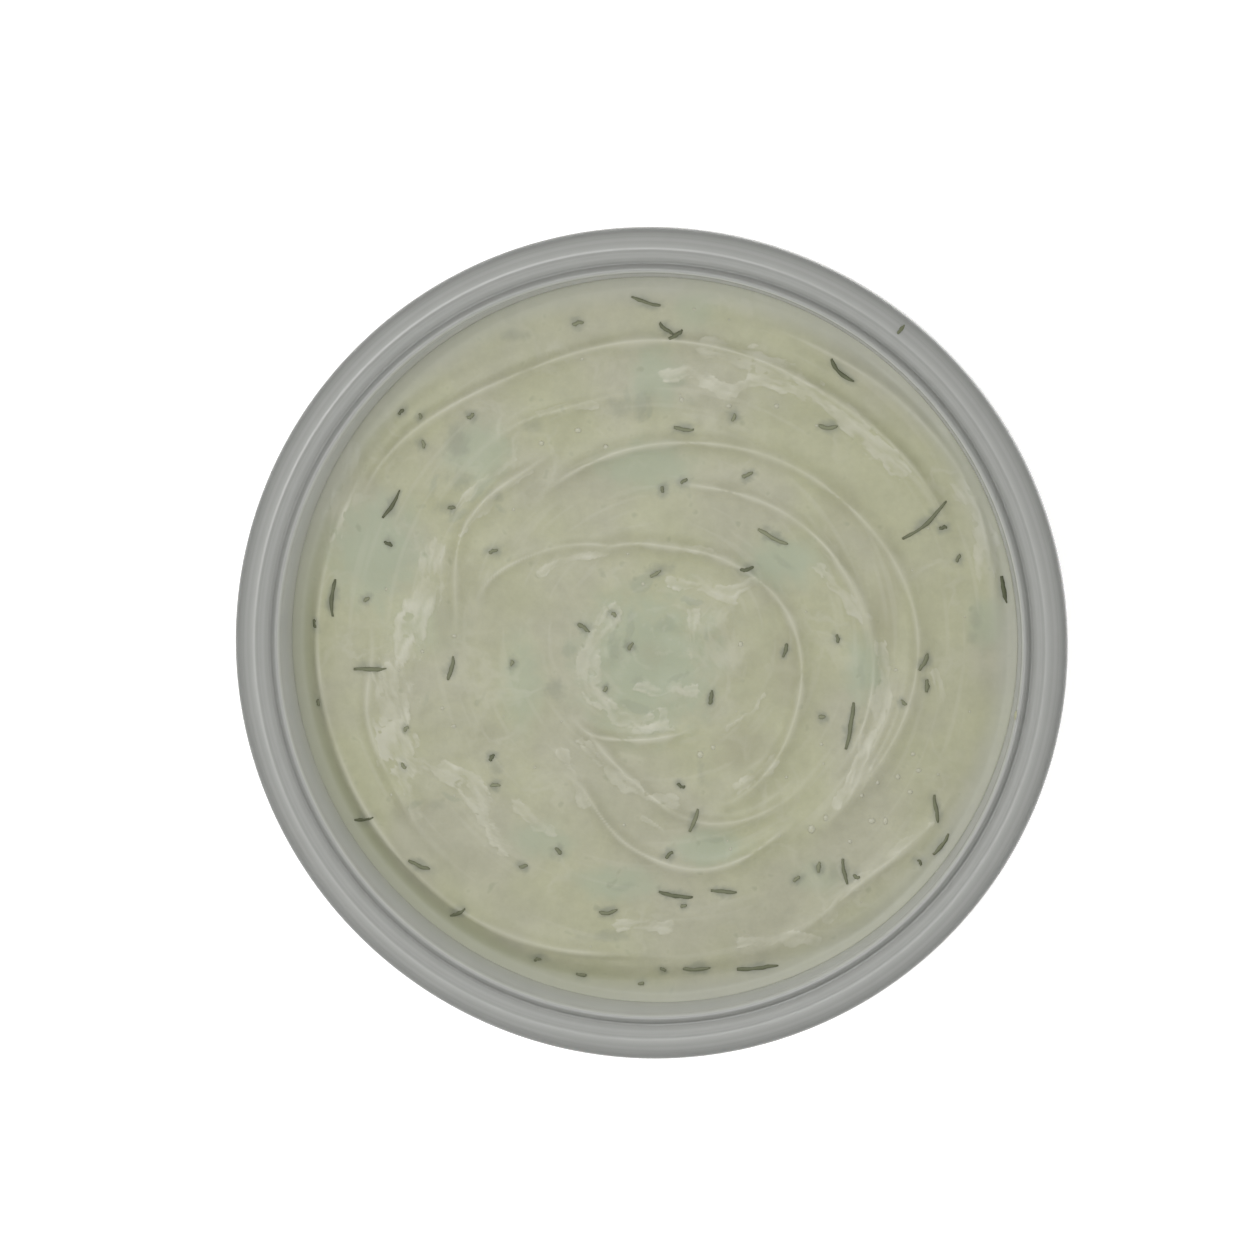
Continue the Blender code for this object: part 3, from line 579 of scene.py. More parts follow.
def top_height(x, y):
    """Height of the dip's top at x, y from the swirl's middle, all in millimetres."""
    radius, degrees = polar(x, y)
    height = DIP_LEVEL / MM - gutter_drop(radius, degrees, from_axis(x, y))
    for fold in FOLDS:
        height += fold_shape(fold, radius, degrees)[0]
    for lump_x, lump_y, lump_radius, lump_height in LUMPS:
        away = ((x - lump_x) ** 2 + (y - lump_y) ** 2) / lump_radius ** 2
        height += np.where(away < 4.0, lump_height * np.exp(-1.5 * away), 0.0)
    edge = swirl_edge(degrees)
    calm = 1.0 - 0.6 * smooth_step(edge, edge + 3.0, radius)
    rough = uneven(x, y, 0.055, 3.1) + 0.45 * uneven(x, y, 0.19, 7.7)
    return height + calm * UNEVENNESS / MM * rough


def inner_radius(z):
    """Radius of the tub's tapered inner wall at height z."""
    return DIP_RADIUS + (z - DIP_LEVEL) * math.tan(WALL_TAPER)


def floor_height():
    """Height of the tub's floor inside."""
    return FOOT_HEIGHT + WALL


def corner_points(inset):
    """The rounded corner between floor and wall, inset from the tub's inner face."""
    centre_z = floor_height() + FLOOR_CORNER
    centre_r = inner_radius(centre_z) - FLOOR_CORNER
    size = FLOOR_CORNER - inset
    last = CORNER_POINTS - 1
    turns = [math.radians(-90.0 + CORNER_TURN * i / last) for i in range(CORNER_POINTS)]
    return [(centre_r + size * math.cos(a), centre_z + size * math.sin(a)) for a in turns]


def curve_through(points):
    """A smooth run through the points of a section, with cuts between each two."""
    count = (len(points) - 1) * CURVE_CUTS + 1
    shares = np.linspace(0.0, 1.0, count)
    radii = between([radius for radius, _ in points], shares)
    heights = between([z for _, z in points], shares)
    return list(zip(radii.tolist(), heights.tolist()))


def below_rim(rows):
    """Points of the tub's section from radii, steps out and drops from the rim's top."""
    return [(radius + step * MM, TUB_HEIGHT - drop * MM) for radius, step, drop in rows]


def tub_section():
    """The tub's section from the middle of its floor, over the rim, to under the foot."""
    inside = [(0.0, floor_height())] + corner_points(0.0)
    inside += [(inner_radius(z), z) for z in (*WALL_CUTS, LID_SEAT_HEIGHT)]
    inside.append((inner_radius(LID_SEAT_HEIGHT) + 0.3 * MM, LID_SEAT_HEIGHT + 0.4 * MM))
    skirt = [
        (RIM_RADIUS, TUB_HEIGHT - SKIRT_DEPTH),
        (RIM_RADIUS - WALL, TUB_HEIGHT - SKIRT_DEPTH),
    ]
    wall_top = TUB_HEIGHT - 3.6 * MM
    wall_foot = 4.2 * MM
    top_radius = inner_radius(wall_top) + 1.35 * WALL
    foot_radius = inner_radius(wall_foot) + WALL
    wall = [
        (top_radius + (foot_radius - top_radius) * (wall_top - z) / (wall_top - wall_foot), z)
        for z in (wall_top, FILLED_TO + FILL_BLUR, FILLED_TO - FILL_BLUR, wall_foot)
    ]
    foot = [
        (FOOT_OUTER_RADIUS + 2.9 * MM, 1.9 * MM),
        (FOOT_OUTER_RADIUS + 1.7 * MM, 0.6 * MM),
        (FOOT_OUTER_RADIUS, 0.0),
        (FOOT_INNER_RADIUS, 0.0),
        (FOOT_INNER_RADIUS - 0.7 * MM, FOOT_HEIGHT),
        (0.0, FOOT_HEIGHT),
    ]
    beads = curve_through(below_rim(BEADS))
    return inside + beads + skirt + below_rim(UNDER_RIM) + wall + foot


def dip_section():
    """The dip's section: rings of its level top from the axis out, its side, its foot."""
    edge = inner_radius(DIP_LEVEL) + INTO_WALL
    top = [(edge * i / DIP_RINGS, DIP_LEVEL) for i in range(DIP_RINGS + 1)]
    corner = corner_points(-INTO_WALL)
    side = [(inner_radius(z) + INTO_WALL, z) for z in DIP_SIDE_CUTS]
    return top + side + corner[::-1] + [(0.0, floor_height() - INTO_WALL)]


def draw_section(name, points):
    """A chain of edges along a section's points, drawn in the XZ plane from one vertex."""
    bpy.ops.object.select_all(action="DESELECT")
    bpy.ops.mesh.primitive_plane_add(size=MM)
    piece = bpy.context.object
    piece.name = name
    piece.data.name = name
    bpy.ops.object.mode_set(mode="EDIT")
    bpy.ops.mesh.merge(type="CENTER")
    places = [Vector((radius, 0.0, z)) for radius, z in points]
    bpy.ops.transform.translate(value=places[0])
    for before, after in zip(places, places[1:]):
        step = tuple(after - before)
        bpy.ops.mesh.extrude_vertices_move(TRANSFORM_OT_translate={"value": step})
    return piece


def turn_section(piece, steps):
    """Spins the drawn section once round the axis, and closes its seam and its poles."""
    bpy.ops.mesh.select_all(action="SELECT")
    bpy.ops.mesh.spin(steps=steps, angle=math.tau, center=(0, 0, 0), axis=(0, 0, 1))
    bpy.ops.mesh.select_all(action="SELECT")
    bpy.ops.mesh.remove_doubles(threshold=WELD_DISTANCE)
    bpy.ops.mesh.normals_make_consistent(inside=False)
    bpy.ops.object.mode_set(mode="OBJECT")
    bpy.ops.object.shade_smooth()
    return piece


def places_of(piece):
    """The places of a piece's vertices, as rows of x, y, z in metres."""
    places = np.zeros(len(piece.data.vertices) * 3)
    piece.data.vertices.foreach_get("co", places)
    return places.reshape(-1, 3)


def set_places(piece, places):
    """Moves a piece's vertices to new places."""
    piece.data.vertices.foreach_set("co", places.ravel())
    piece.data.update()


def mark(piece, name, values):
    """Stores one value for each vertex, for the piece's material to read."""
    attribute = piece.data.attributes.new(name, "FLOAT", "POINT")
    attribute.data.foreach_set("value", values.astype(np.float32))


def make_tub():
    """The tub: its section turned once, with the corners that the mould leaves rounded."""
    piece = draw_section("tub_shell", tub_section())
    turn_section(piece, TUB_STEPS)
    rounding = piece.modifiers.new("Rounded corners", "BEVEL")
    rounding.width = EDGE_ROUNDING
    rounding.segments = 2
    rounding.limit_method = "ANGLE"
    rounding.angle_limit = ROUNDED_FROM
    bpy.ops.object.modifier_apply(modifier=rounding.name)
    bpy.ops.object.shade_smooth_by_angle(angle=SMOOTH_BELOW)
    mark_tub(piece)
    return piece


def mark_tub(piece):
    """Marks the part of the wall with painted light, the filled part, the painted highlights
    on the bead crests and the painted shade at the lip.
    """
    places = places_of(piece)
    radius = np.hypot(places[:, 0], places[:, 1])
    height = places[:, 2]
    wall = radius - inner_radius(height) < LIT_DEPTH
    # Painted light on the inner wall, standing in for light through the plastic.
    mark(piece, "lit", np.where(wall, smooth_step(*LIT_HEIGHTS, height), 0.0))
    # Painted highlights in rings on the bead crests.
    bead_highlight = np.zeros(len(radius))
    for bead, width, strength in BEAD_HIGHLIGHT_RINGS:
        bead_highlight = np.maximum(bead_highlight, strength * np.exp(-((radius - bead) / width) ** 2))
    mark(piece, "bead_highlight", np.where(height > LID_SEAT_HEIGHT, bead_highlight, 0.0))
    # Painted shade on the rim's outer lip.
    mark(piece, "lip", smooth_step(RIM_RADIUS - 1.7 * MM, RIM_RADIUS - 0.3 * MM, radius))
    filled = 1.0 - smooth_step(FILLED_TO - FILL_BLUR, FILLED_TO + FILL_BLUR, height)
    mark(piece, "filled", filled)


def make_dip():
    """The dip: its section turned once, its level top raised to the swirl."""
    piece = draw_section("dip_body", dip_section())
    turn_section(piece, DIP_STEPS)
    places = places_of(piece)
    top = places[:, 2] > DIP_LEVEL - 0.001 * MM
    x = (places[top, 0] - SWIRL_MIDDLE_X) / MM
    y = (places[top, 1] - SWIRL_MIDDLE_Y) / MM
    crest = crest_nearness(*polar(x, y))
    crest *= 0.62 + 0.38 * np.clip(2.0 * uneven(x, y, 0.11, 6.1), -1.0, 1.0)
    trail, wet = trail_nearness(x, y)
    cover = wet * smooth_step(-0.10, 0.60, trail)
    places[top, 2] = (top_height(x, y) + LIP_HEIGHT * crest + TRAIL_RISE * cover) * MM
    edge = top & (np.hypot(places[:, 0], places[:, 1]) > inner_radius(DIP_LEVEL))
    fit = (DIP_RADIUS + (places[edge, 2] - DIP_LEVEL) * math.tan(WALL_TAPER) + INTO_WALL)
    fit /= np.hypot(places[edge, 0], places[edge, 1])
    places[edge, 0] *= fit
    places[edge, 1] *= fit
    set_places(piece, places)
    mark_top(piece, top, x, y, crest, trail, wet)
    return piece


def mark_top(piece, top, x, y, crest, trail, wet):
    """Marks where the top is wet, where it gets painted highlight and sheen, greener, browner
    in painted shade, over sunk dill, in the gutter's painted shade, or given painted light at
    the wall.
    """
    radius, degrees = polar(x, y)
    ragged = uneven(x, y, 0.5, 2.2) + 0.5 * uneven(x, y, 1.3, 8.8)
    # Painted shade, with an olive tint, in the gutter along the left wall where the wall
    # shades it.
    gutter_shade = smooth_step(-0.2, 1.8, radius - swirl_edge(degrees))
    gutter_shade *= smooth_step(0.35, 1.0, np.cos(np.radians(degrees - GUTTER_BEARING)))
    broken = uneven(x, y, 0.9, 7.2) + 0.7 * uneven(x, y, 2.3, 1.8)
    halo = shred_nearness(x, y, DILL_HALOS)
    calm = 1.0 - smooth_step(-1.0, 1.0, radius - swirl_edge(degrees))
    marks = {
        "trail": trail,
        "wet": wet,
        # Painted highlight along the fold crests, and faint pale streaks.
        "crest": np.maximum(crest * FOLD_CREST_HIGHLIGHT,
                            STREAK_PALENESS * calm * streak_shown(radius, degrees)),
        "shred": shred_nearness(x, y, SHREDS),
        "shade": blots(x, y, SHADES, ragged),
        "green": blots(x, y, TINTS, ragged),
        "sunk": np.maximum(0.70 * blots(x, y, SUNK, 1.5 * broken),
                           smooth_step(0.05, 0.8, halo + 0.3 * broken)),
        # Painted light on the dip next to the wall, standing in for light through and off the
        # wall.
        "light_near_wall": smooth_step(DIP_RADIUS / MM - 4.5, DIP_RADIUS / MM - 0.3, from_axis(x, y)),
        "gutter_shade": gutter_shade,
    }
    for name, values in marks.items():
        spread = np.zeros(len(top))
        spread[top] = values
        mark(piece, name, spread)


def model_leaf():
    """One dill leaf 1 long and 1 wide, extruded ring by ring from its stalk to its tip."""
    bpy.ops.object.select_all(action="DESELECT")
    bpy.ops.mesh.primitive_circle_add(
        vertices=LEAF_SIDES, radius=0.5 * LEAF_FULLNESS[0], fill_type="NGON",
        location=(0.0, 0.0, 0.0), rotation=(0.0, math.pi / 2.0, 0.0),
    )
    piece = bpy.context.object
    bpy.ops.object.transform_apply(location=True, rotation=True, scale=True)
    bpy.ops.object.mode_set(mode="EDIT")
    bpy.ops.transform.translate(value=(-0.5, 0.0, 0.0))
    step = 1.0 / (len(LEAF_FULLNESS) - 1)
    for before, after in zip(LEAF_FULLNESS, LEAF_FULLNESS[1:]):
        bpy.ops.mesh.extrude_region_move(TRANSFORM_OT_translate={"value": (step, 0.0, 0.0)})
        share = after / before
        bpy.ops.transform.resize(value=(1.0, share, share))
    bpy.ops.mesh.select_all(action="SELECT")
    bpy.ops.mesh.normals_make_consistent(inside=False)
    bpy.ops.object.mode_set(mode="OBJECT")
    bpy.ops.object.shade_smooth()
    return piece


def rim_height(x, y):
    """Height of the rim's outer slope at x, y from the swirl's middle, in millimetres."""
    radii, heights = zip(*RIM_SLOPE)
    return np.interp(from_axis(x, y), radii, heights)


def copy_of(model, name):
    """A copy of a modelled piece with a mesh of its own, placed in the scene."""
    piece = model.copy()
    piece.data = model.data.copy()
    piece.name = name
    bpy.context.scene.collection.objects.link(piece)
    return piece


def lay_leaf(model, name, leaf, width, film, level=top_height):
    """A copy of the modelled leaf, bent sideways and laid along the surface under it."""
    piece = copy_of(model, name)
    form = places_of(piece)
    along = form[:, 0] * 2.0
    turn = math.radians(leaf.turn)
    half = 0.5 * leaf.length
    kink = 0.05 * np.sin(along * 3.0 + leaf.x)
    sides = 1.0 + 0.8 * uneven(along * 1.9 + leaf.x, np.sign(form[:, 1]), 1.0, leaf.y)
    across = form[:, 1] * width / MM * sides + leaf.bend * (along * along - 0.5) + kink
    x = leaf.x + along * half * math.cos(turn) - across * math.sin(turn)
    y = leaf.y + along * half * math.sin(turn) + across * math.cos(turn)
    up = level(x, y) + LEAF_LIFT / MM + form[:, 2] * LEAF_THICKNESS / MM
    set_places(piece, np.stack([x, y, up], axis=1) * MM + SWIRL_MIDDLE)
    mark(piece, "film", np.full(len(x), film))
    return piece


def join_pieces(name, pieces):
    """Joins pieces into one, whose object stands at the origin."""
    bpy.ops.object.select_all(action="DESELECT")
    for piece in pieces:
        piece.select_set(True)
    bpy.context.view_layer.objects.active = pieces[0]
    bpy.ops.object.join()
    joined = bpy.context.object
    joined.name = name
    joined.data.name = name
    return joined


def make_dill():
    """The chopped dill that shows: the longer leaves, and the short flecks."""
    model = model_leaf()
    leaves = [
        lay_leaf(model, f"leaf_{i:02d}", leaf, LEAF_WIDTH, film)
        for i, (leaf, film) in enumerate(zip(LEAVES, LEAF_FILMS))
    ]
    leaves.append(lay_leaf(model, "leaf_on_rim", RIM_LEAF, FLECK_WIDTH, RIM_LEAF_FILM,
                           rim_height))
    rng = random.Random(FLECK_FILM_SEED)
    flecks = [
        lay_leaf(model, f"fleck_{i:02d}", Leaf(*fleck, bend=0.0), FLECK_WIDTH,
                 DARK_FLECKS.get(i, rng.uniform(*FLECK_FILM)))
        for i, fleck in enumerate(FLECKS)
    ]
    bpy.data.objects.remove(model, do_unlink=True)
    return join_pieces("dill_leaves", leaves), join_pieces("dill_flecks", flecks)


def speck_places():
    """Every speck as x, y and radius in millimetres: the clear ones, and loose small ones."""
    rng = random.Random(SPECK_SEED)
    specks = list(SPECKS)
    for _ in range(LOOSE_SPECKS):
        turn = rng.uniform(0.0, math.tau)
        reach = LOOSE_REACH * math.sqrt(rng.random())
        radius = rng.uniform(*LOOSE_RADIUS)
        specks.append((reach * math.cos(turn), reach * math.sin(turn), radius))
    return specks


def lay_dome(model, name, place, half, paleness):
    """A copy of the modelled dome, stretched to its half sizes and set in its place."""
    piece = copy_of(model, name)
    form = places_of(piece)
    set_places(piece, (form * half + place) * MM + SWIRL_MIDDLE)
    # The speck's paleness, partly a painted highlight.
    mark(piece, "crest", np.full(len(form), paleness))
    return piece


def make_specks():
    """Air bubbles under the dip's skin, and the smear on the bead, all as low domes."""
    bpy.ops.object.select_all(action="DESELECT")
    bpy.ops.mesh.primitive_ico_sphere_add(subdivisions=2, radius=1.0)
    model = bpy.context.object
    bpy.ops.object.mode_set(mode="EDIT")
    bpy.ops.mesh.select_all(action="SELECT")
    bpy.ops.mesh.bisect(
        plane_co=(0.0, 0.0, -0.3), plane_no=(0.0, 0.0, 1.0),
        use_fill=True, clear_inner=True,
    )
    bpy.ops.object.mode_set(mode="OBJECT")
    bpy.ops.object.shade_smooth()
    rng = random.Random(SPECK_SEED)
    domes = []
    for i, (x, y, radius) in enumerate(speck_places()):
        level = top_height(np.array([x]), np.array([y]))[0]
        wide = radius * rng.uniform(*SPECK_STRETCH)
        half = (wide, radius * rng.uniform(*SPECK_STRETCH), radius * SPECK_FLATNESS)
        domes.append(lay_dome(model, f"speck_{i:03d}", (x, y, level), half, SPECK_PALENESS))
    domes.append(lay_dome(model, "smear", SMEAR, SMEAR_HALF_SIZES, 0.0))
    bpy.data.objects.remove(model, do_unlink=True)
    return join_pieces("dip_specks", domes)


def feed(tree, node, inputs):
    """Gives a node's inputs their numbers, or links them to what other nodes give."""
    for name, value in inputs.items():
        if isinstance(value, bpy.types.NodeSocket):
            tree.links.new(value, node.inputs[name])
        else:
            node.inputs[name].default_value = value


def combined(tree, operation, *values):
    """One step of arithmetic on values that are numbers or come from other nodes."""
    node = tree.nodes.new("ShaderNodeMath")
    node.operation = operation
    feed(tree, node, dict(enumerate(values)))
    return node.outputs[0]


def vector_node(tree, operation, inputs):
    """One step of arithmetic on vectors."""
    node = tree.nodes.new("ShaderNodeVectorMath")
    node.operation = operation
    feed(tree, node, inputs)
    return node


def object_place(tree):
    """The piece's own coordinates."""
    return tree.nodes.new("ShaderNodeTexCoord").outputs["Object"]


def noise_over(tree, place, inputs):
    """Noise over some coordinates."""
    node = tree.nodes.new("ShaderNodeTexNoise")
    feed(tree, node, {"Vector": place, **inputs})
    return node.outputs["Fac"]


def object_noise(tree, scale, detail):
    """Noise over the piece's own coordinates."""
    return noise_over(tree, object_place(tree), {"Scale": scale, "Detail": detail})


def ring_noise(tree, scale, detail):
    """Noise that runs in rings round the tub's axis, as the marks of a turned mould do."""
    place = object_place(tree)
    flat = vector_node(tree, "MULTIPLY", {0: place, 1: (1.0, 1.0, 0.0)})
    reach = vector_node(tree, "LENGTH", {0: flat.outputs["Vector"]})
    parts = tree.nodes.new("ShaderNodeSeparateXYZ")
    feed(tree, parts, {"Vector": place})
    across = tree.nodes.new("ShaderNodeCombineXYZ")
    feed(tree, across, {"X": reach.outputs["Value"], "Y": parts.outputs["Z"]})
    return noise_over(tree, across.outputs["Vector"], {"Scale": scale, "Detail": detail})


def read_mark(tree, name):
    """The value that a piece's vertices carry under a name."""
    node = tree.nodes.new("ShaderNodeAttribute")
    node.attribute_name = name
    return node.outputs["Fac"]


def scaled(tree, value, factor):
    """A value times a number."""
    return combined(tree, "MULTIPLY", value, factor)


def tinted(tree, below, share, color):
    """A colour over another one, as much as share says."""
    node = tree.nodes.new("ShaderNodeMix")
    node.data_type = "RGBA"
    feed(tree, node, {0: share, 6: below, 7: color})
    return node.outputs[2]


def marked(tree, below, name, share, color):
    """A colour over another one where a mark says so, at most as much as share."""
    return tinted(tree, below, scaled(tree, read_mark(tree, name), share), color)


def ranged(tree, value, low, high, start=0.0, end=1.0):
    """A value from start to end spread between two others, without a hard corner."""
    node = tree.nodes.new("ShaderNodeMapRange")
    node.interpolation_type = "SMOOTHSTEP"
    feed(tree, node, {"Value": value, "From Min": start, "From Max": end,
                      "To Min": low, "To Max": high})
    return node.outputs["Result"]


def relief(tree, height, depth, strength):
    """Fine relief over the surface, depth in metres."""
    node = tree.nodes.new("ShaderNodeBump")
    feed(tree, node, {"Height": height, "Distance": depth, "Strength": strength})
    return node.outputs["Normal"]


def uneven_tone_group():
    """A node group that darkens and lightens a colour in soft clouds and fine grain."""
    group = bpy.data.node_groups.new("uneven_tone", "ShaderNodeTree")
    for name, way, kind in (
        ("Color", "INPUT", "NodeSocketColor"), ("Scale", "INPUT", "NodeSocketFloat"),
        ("Strength", "INPUT", "NodeSocketFloat"), ("Color", "OUTPUT", "NodeSocketColor"),
        ("Clouds", "OUTPUT", "NodeSocketFloat"),
    ):
        group.interface.new_socket(name, in_out=way, socket_type=kind)
    given = group.nodes.new("NodeGroupInput").outputs
    clouds = noise_over(group, object_place(group),
                        {"Scale": given["Scale"], "Detail": 5.0, "Roughness": 0.62})
    centred = combined(group, "SUBTRACT", clouds, 0.5)
    amount = combined(group, "MULTIPLY_ADD", centred, given["Strength"], 1.0)
    tone = vector_node(group, "SCALE", {0: given["Color"], "Scale": amount})
    result = group.nodes.new("NodeGroupOutput")
    feed(group, result, {"Color": tone.outputs["Vector"], "Clouds": clouds})
    return group


def new_material(name):
    """A material with its node tree and its shader."""
    material = bpy.data.materials.new(name)
    material.use_nodes = True
    return material, material.node_tree, material.node_tree.nodes["Principled BSDF"]


def add_tone(tree, group, color, scale, strength):
    """A colour made uneven by the tone group, and the clouds that it follows."""
    node = tree.nodes.new("ShaderNodeGroup")
    node.node_tree = group
    feed(tree, node, {"Color": color, "Scale": scale, "Strength": strength})
    return node.outputs["Color"], node.outputs["Clouds"]


def wisps(tree):
    """Fine pale wrinkles of the wet skin, in some places more than in others."""
    folded = noise_over(tree, object_place(tree),
                        {"Scale": 120.0, "Detail": 4.0, "Distortion": 0.4})
    size = combined(tree, "ABSOLUTE", combined(tree, "SUBTRACT", folded, 0.5))
    line = ranged(tree, size, 1.0, 0.0, 0.0, 0.055)
    patch = ranged(tree, object_noise(tree, 85.0, 3.0), 0.0, 1.0, 0.46, 0.66)
    return combined(tree, "MULTIPLY", line, patch)


def dip_cream(group):
    """Thick strained yoghurt with cucumber water: soft clouds, wet trails with painted sheen,
    green tints, painted highlights on the crests, painted shade in hollows and the gutter,
    painted light near the wall.
    """
    material, tree, shader = new_material("dip_cream")
    blush = ranged(tree, object_noise(tree, 62.0, 2.0), 0.0, 1.0, 0.36, 0.64)
    color = tinted(tree, CREAM, blush, CREAM_BLUSH)
    color, _ = add_tone(tree, group, color, 110.0, 0.24)
    color, _ = add_tone(tree, group, color, 520.0, 0.30)
    color = marked(tree, color, "green", 0.85, CUCUMBER_TINT)
    # Painted shade, browner, in hollows beside the folds.
    color = marked(tree, color, "shade", 0.55, BROWN_HOLLOW_SHADE)
    shred = ranged(tree, read_mark(tree, "shred"), 0.0, 1.0, 0.0, 0.35)
    color = tinted(tree, color, scaled(tree, shred, 0.42), SHRED_GREEN)
    color = marked(tree, color, "sunk", 0.70, SUNK_GREEN)
    dots = ranged(tree, object_noise(tree, 520.0, 1.0), 0.0, 0.36, 0.68, 0.82)
    color = tinted(tree, color, dots, DOT_GREEN)
    ragged = ranged(tree, object_noise(tree, 750.0, 3.0), -0.16, 0.16, 0.2, 0.8)
    trail = combined(tree, "ADD", read_mark(tree, "trail"), ragged)
    trail = ranged(tree, trail, 0.0, 1.0, -0.06, 0.32)
    broken = ranged(tree, object_noise(tree, 330.0, 4.0), 0.45, 0.95, 0.3, 0.65)
    film = combined(tree, "MULTIPLY", trail, read_mark(tree, "wet"))
    film = combined(tree, "MULTIPLY", film, broken)
    pale = combined(tree, "MAXIMUM", film, read_mark(tree, "crest"))
    pale = combined(tree, "MAXIMUM", pale, scaled(tree, wisps(tree), 0.30))
    # Pale film with painted highlight and sheen on the crests, wet trails, wrinkles and
    # specks.
    color = tinted(tree, color, scaled(tree, pale, 0.95), PALE_FILM_AND_SHEEN)
    # Painted shade, olive, in the gutter along the left wall.
    color = marked(tree, color, "gutter_shade", 0.60, GUTTER_OLIVE_SHADE)
    # Painted light on the dip next to the wall.
    color = marked(tree, color, "light_near_wall", 0.60, LIGHT_NEAR_WALL)
    skin = scaled(tree, object_noise(tree, 1400.0, 3.0), 0.4)
    height = combined(tree, "ADD", scaled(tree, film, 0.6), skin)
    feed(tree, shader, {
        "Base Color": color,
        "Roughness": ranged(tree, pale, 0.40, 0.30),
        "IOR": 1.40,
        "Subsurface Weight": 0.12,
        "Subsurface Radius": (1.0, 0.9, 0.6),
        "Subsurface Scale": 0.8 * MM,
        "Normal": relief(tree, height, 0.05 * MM, 0.5),
    })
    return material


def dill_green(group):
    """Chopped dill: dark olive leaves, some under a film of dip."""
    material, tree, shader = new_material("dill_green")
    color, clouds = add_tone(tree, group, DILL_DARK, 900.0, 1.1)
    feed(tree, shader, {
        "Base Color": tinted(tree, color, read_mark(tree, "film"), DILL_FILMED),
        "Roughness": ranged(tree, clouds, 0.45, 0.70),
        "Specular IOR Level": 0.2,
        "Normal": relief(tree, object_noise(tree, 2600.0, 2.0), 0.04 * MM, 0.5),
    })
    return material


def tub_plastic(group):
    """Greyish see-through plastic: a clean gloss, the fine rings of a turned mould, painted
    light on the inner wall, painted highlights on the bead crests and painted shade at the
    lip.
    """
    material, tree, shader = new_material("tub_plastic")
    color, _ = add_tone(tree, group, PLASTIC, 45.0, 0.06)
    rings = ring_noise(tree, 1900.0, 3.0)
    worn_in = combined(tree, "MULTIPLY", ranged(tree, rings, 0.0, 0.55, 0.35, 0.68),
                       ranged(tree, read_mark(tree, "filled"), 1.0, 0.2))
    color = tinted(tree, color, worn_in, MOULD_RINGS)
    color = marked(tree, color, "filled", 0.55, FILLED_WALL)
    # Painted light on the inner wall, stronger where it is seen at a slant.
    slant = tree.nodes.new("ShaderNodeLayerWeight")
    through = combined(tree, "MULTIPLY", read_mark(tree, "lit"),
                       ranged(tree, slant.outputs["Facing"], 0.54, 0.0, 0.70, 0.95))
    color = tinted(tree, color, through, LIT_WALL)
    # Painted shade on the rim's outer lip.
    color = marked(tree, color, "lip", 0.32, SHADED_LIP)
    # Painted highlights on the bead crests.
    color = marked(tree, color, "bead_highlight", 0.60, BEAD_HIGHLIGHT)
    feed(tree, shader, {
        "Base Color": color,
        "Roughness": ranged(tree, object_noise(tree, 70.0, 3.0), 0.14, 0.24),
        "IOR": 1.49,
        "Transmission Weight": 0.30,
        "Subsurface Weight": 0.8,
        "Subsurface Radius": (1.0, 1.0, 1.0),
        "Subsurface Scale": 3.0 * MM,
        "Normal": relief(tree, rings, 0.03 * MM, 0.35),
    })
    return material


def floor_paint():
    """A pale matt studio floor with the faintest mottling."""
    material, tree, shader = new_material("studio_floor")
    mottling = object_noise(tree, 3.0, 2.0)
    feed(tree, shader, {
        "Base Color": tinted(tree, FLOOR_WHITE, mottling, FLOOR_WHITEST),
        "Roughness": 0.85,
        "Emission Color": (1.0, 1.0, 1.0, 1.0),
        "Emission Strength": FLOOR_GLOW,
    })
    return material


def give_material(piece, material):
    """Gives a piece one material."""
    piece.data.materials.clear()
    piece.data.materials.append(material)


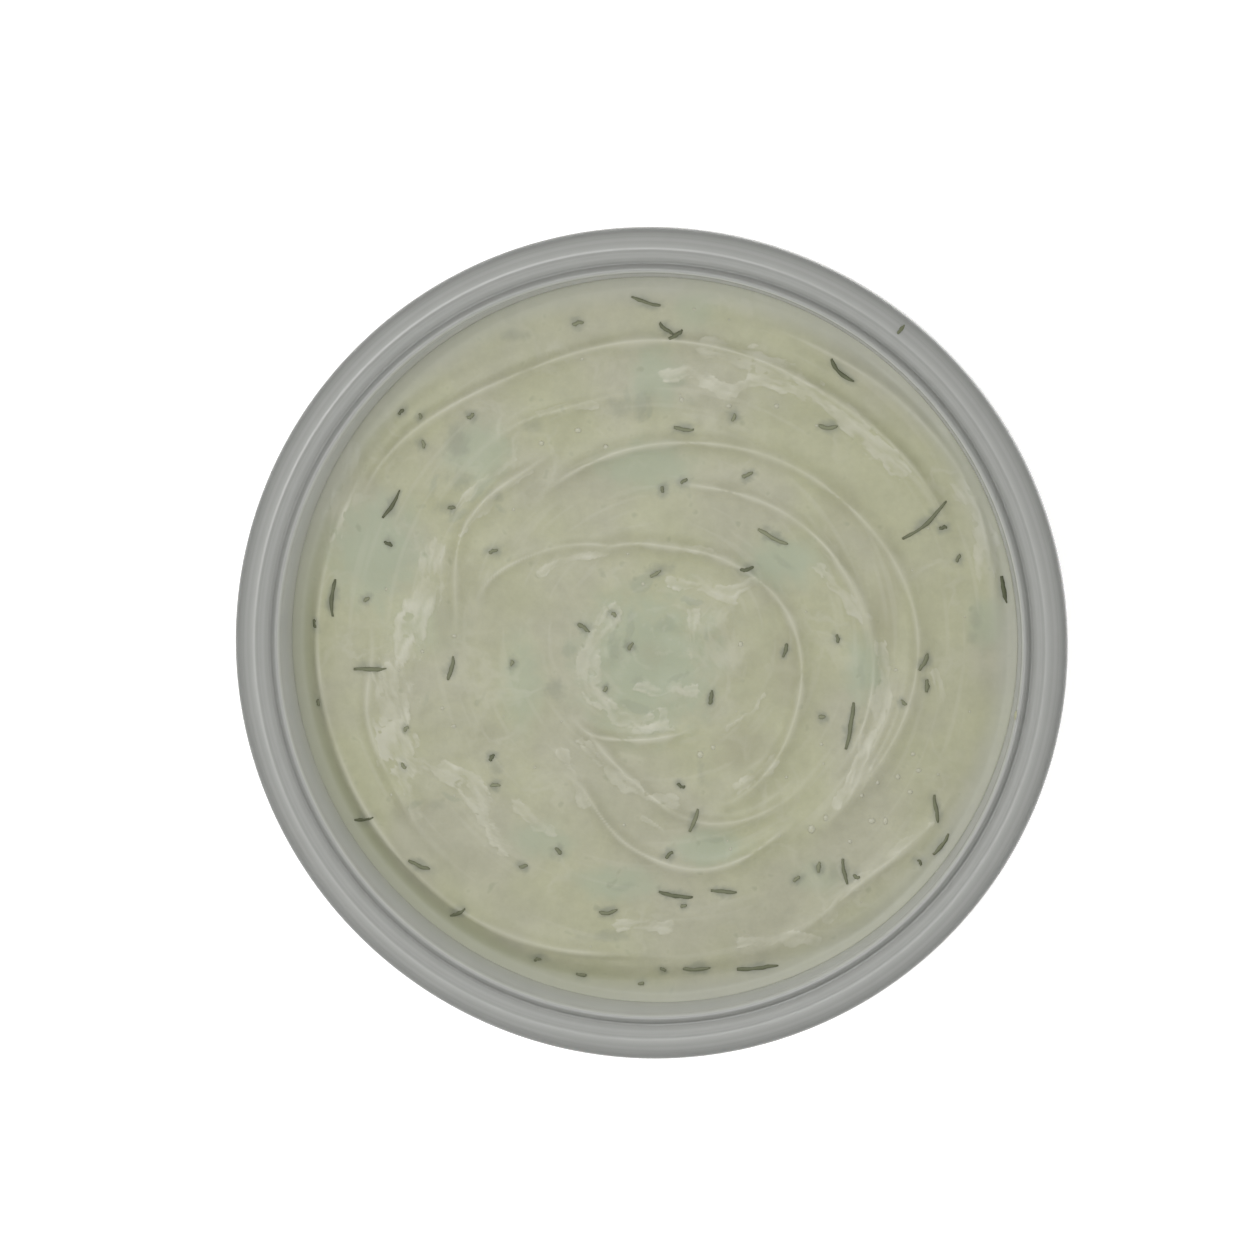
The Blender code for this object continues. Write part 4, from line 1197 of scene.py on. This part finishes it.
def set_studio():
    """The pale floor, the even sky and one large soft light from the upper left."""
    bpy.ops.object.select_all(action="DESELECT")
    bpy.ops.mesh.primitive_plane_add(size=FLOOR_SIZE)
    floor = bpy.context.object
    floor.name = "studio_floor"
    give_material(floor, floor_paint())

    world = bpy.data.worlds.new("soft_sky")
    world.use_nodes = True
    sky = world.node_tree.nodes["Background"]
    sky.inputs["Color"].default_value = (1.0, 1.0, 1.0, 1.0)
    sky.inputs["Strength"].default_value = SKY_STRENGTH
    bpy.context.scene.world = world

    bpy.ops.object.light_add(type="AREA", location=KEY_PLACE)
    key = bpy.context.object
    key.name = "key_light"
    key.data.size = KEY_SIZE
    key.data.energy = KEY_POWER
    key.rotation_euler = Vector(KEY_PLACE).to_track_quat("Z", "Y").to_euler()


def set_camera():
    """The photo's view, almost straight down, with the rim where the photo has it."""
    middle = FRAME_PIXELS / 2.0
    aim = Vector((
        (middle - RIM_MIDDLE_PIXEL[0]) * PIXEL_AT_RIM,
        (RIM_MIDDLE_PIXEL[1] - middle) * PIXEL_AT_RIM,
        TUB_HEIGHT,
    ))
    toward_camera = Vector((
        math.sin(CAMERA_TILT) * math.cos(CAMERA_BEARING),
        math.sin(CAMERA_TILT) * math.sin(CAMERA_BEARING),
        math.cos(CAMERA_TILT),
    ))
    right = Vector((0.0, 1.0, 0.0)).cross(toward_camera).normalized()
    up = toward_camera.cross(right)
    bpy.ops.object.camera_add(location=aim + toward_camera * CAMERA_DISTANCE)
    camera = bpy.context.object
    camera.name = "photo_camera"
    camera.rotation_euler = Matrix((right, up, toward_camera)).transposed().to_euler()
    camera.data.sensor_width = SENSOR_WIDTH
    camera.data.lens = CAMERA_DISTANCE / PIXEL_AT_RIM * SENSOR_WIDTH / FRAME_PIXELS
    bpy.context.scene.camera = camera


def main():
    tone = uneven_tone_group()
    cream = dip_cream(tone)
    dill = dill_green(tone)

    tub = make_tub()
    give_material(tub, tub_plastic(tone))
    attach(tub, "root")
    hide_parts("tub")

    dip = make_dip()
    give_material(dip, cream)
    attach(dip, "root")
    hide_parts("dip")

    specks = make_specks()
    give_material(specks, cream)
    leaves, flecks = make_dill()
    give_material(leaves, dill)
    give_material(flecks, dill)
    for piece in (specks, leaves, flecks):
        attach(piece, "root")

    set_studio()
    set_camera()
    bpy.context.scene.view_settings.view_transform = "Standard"


main()
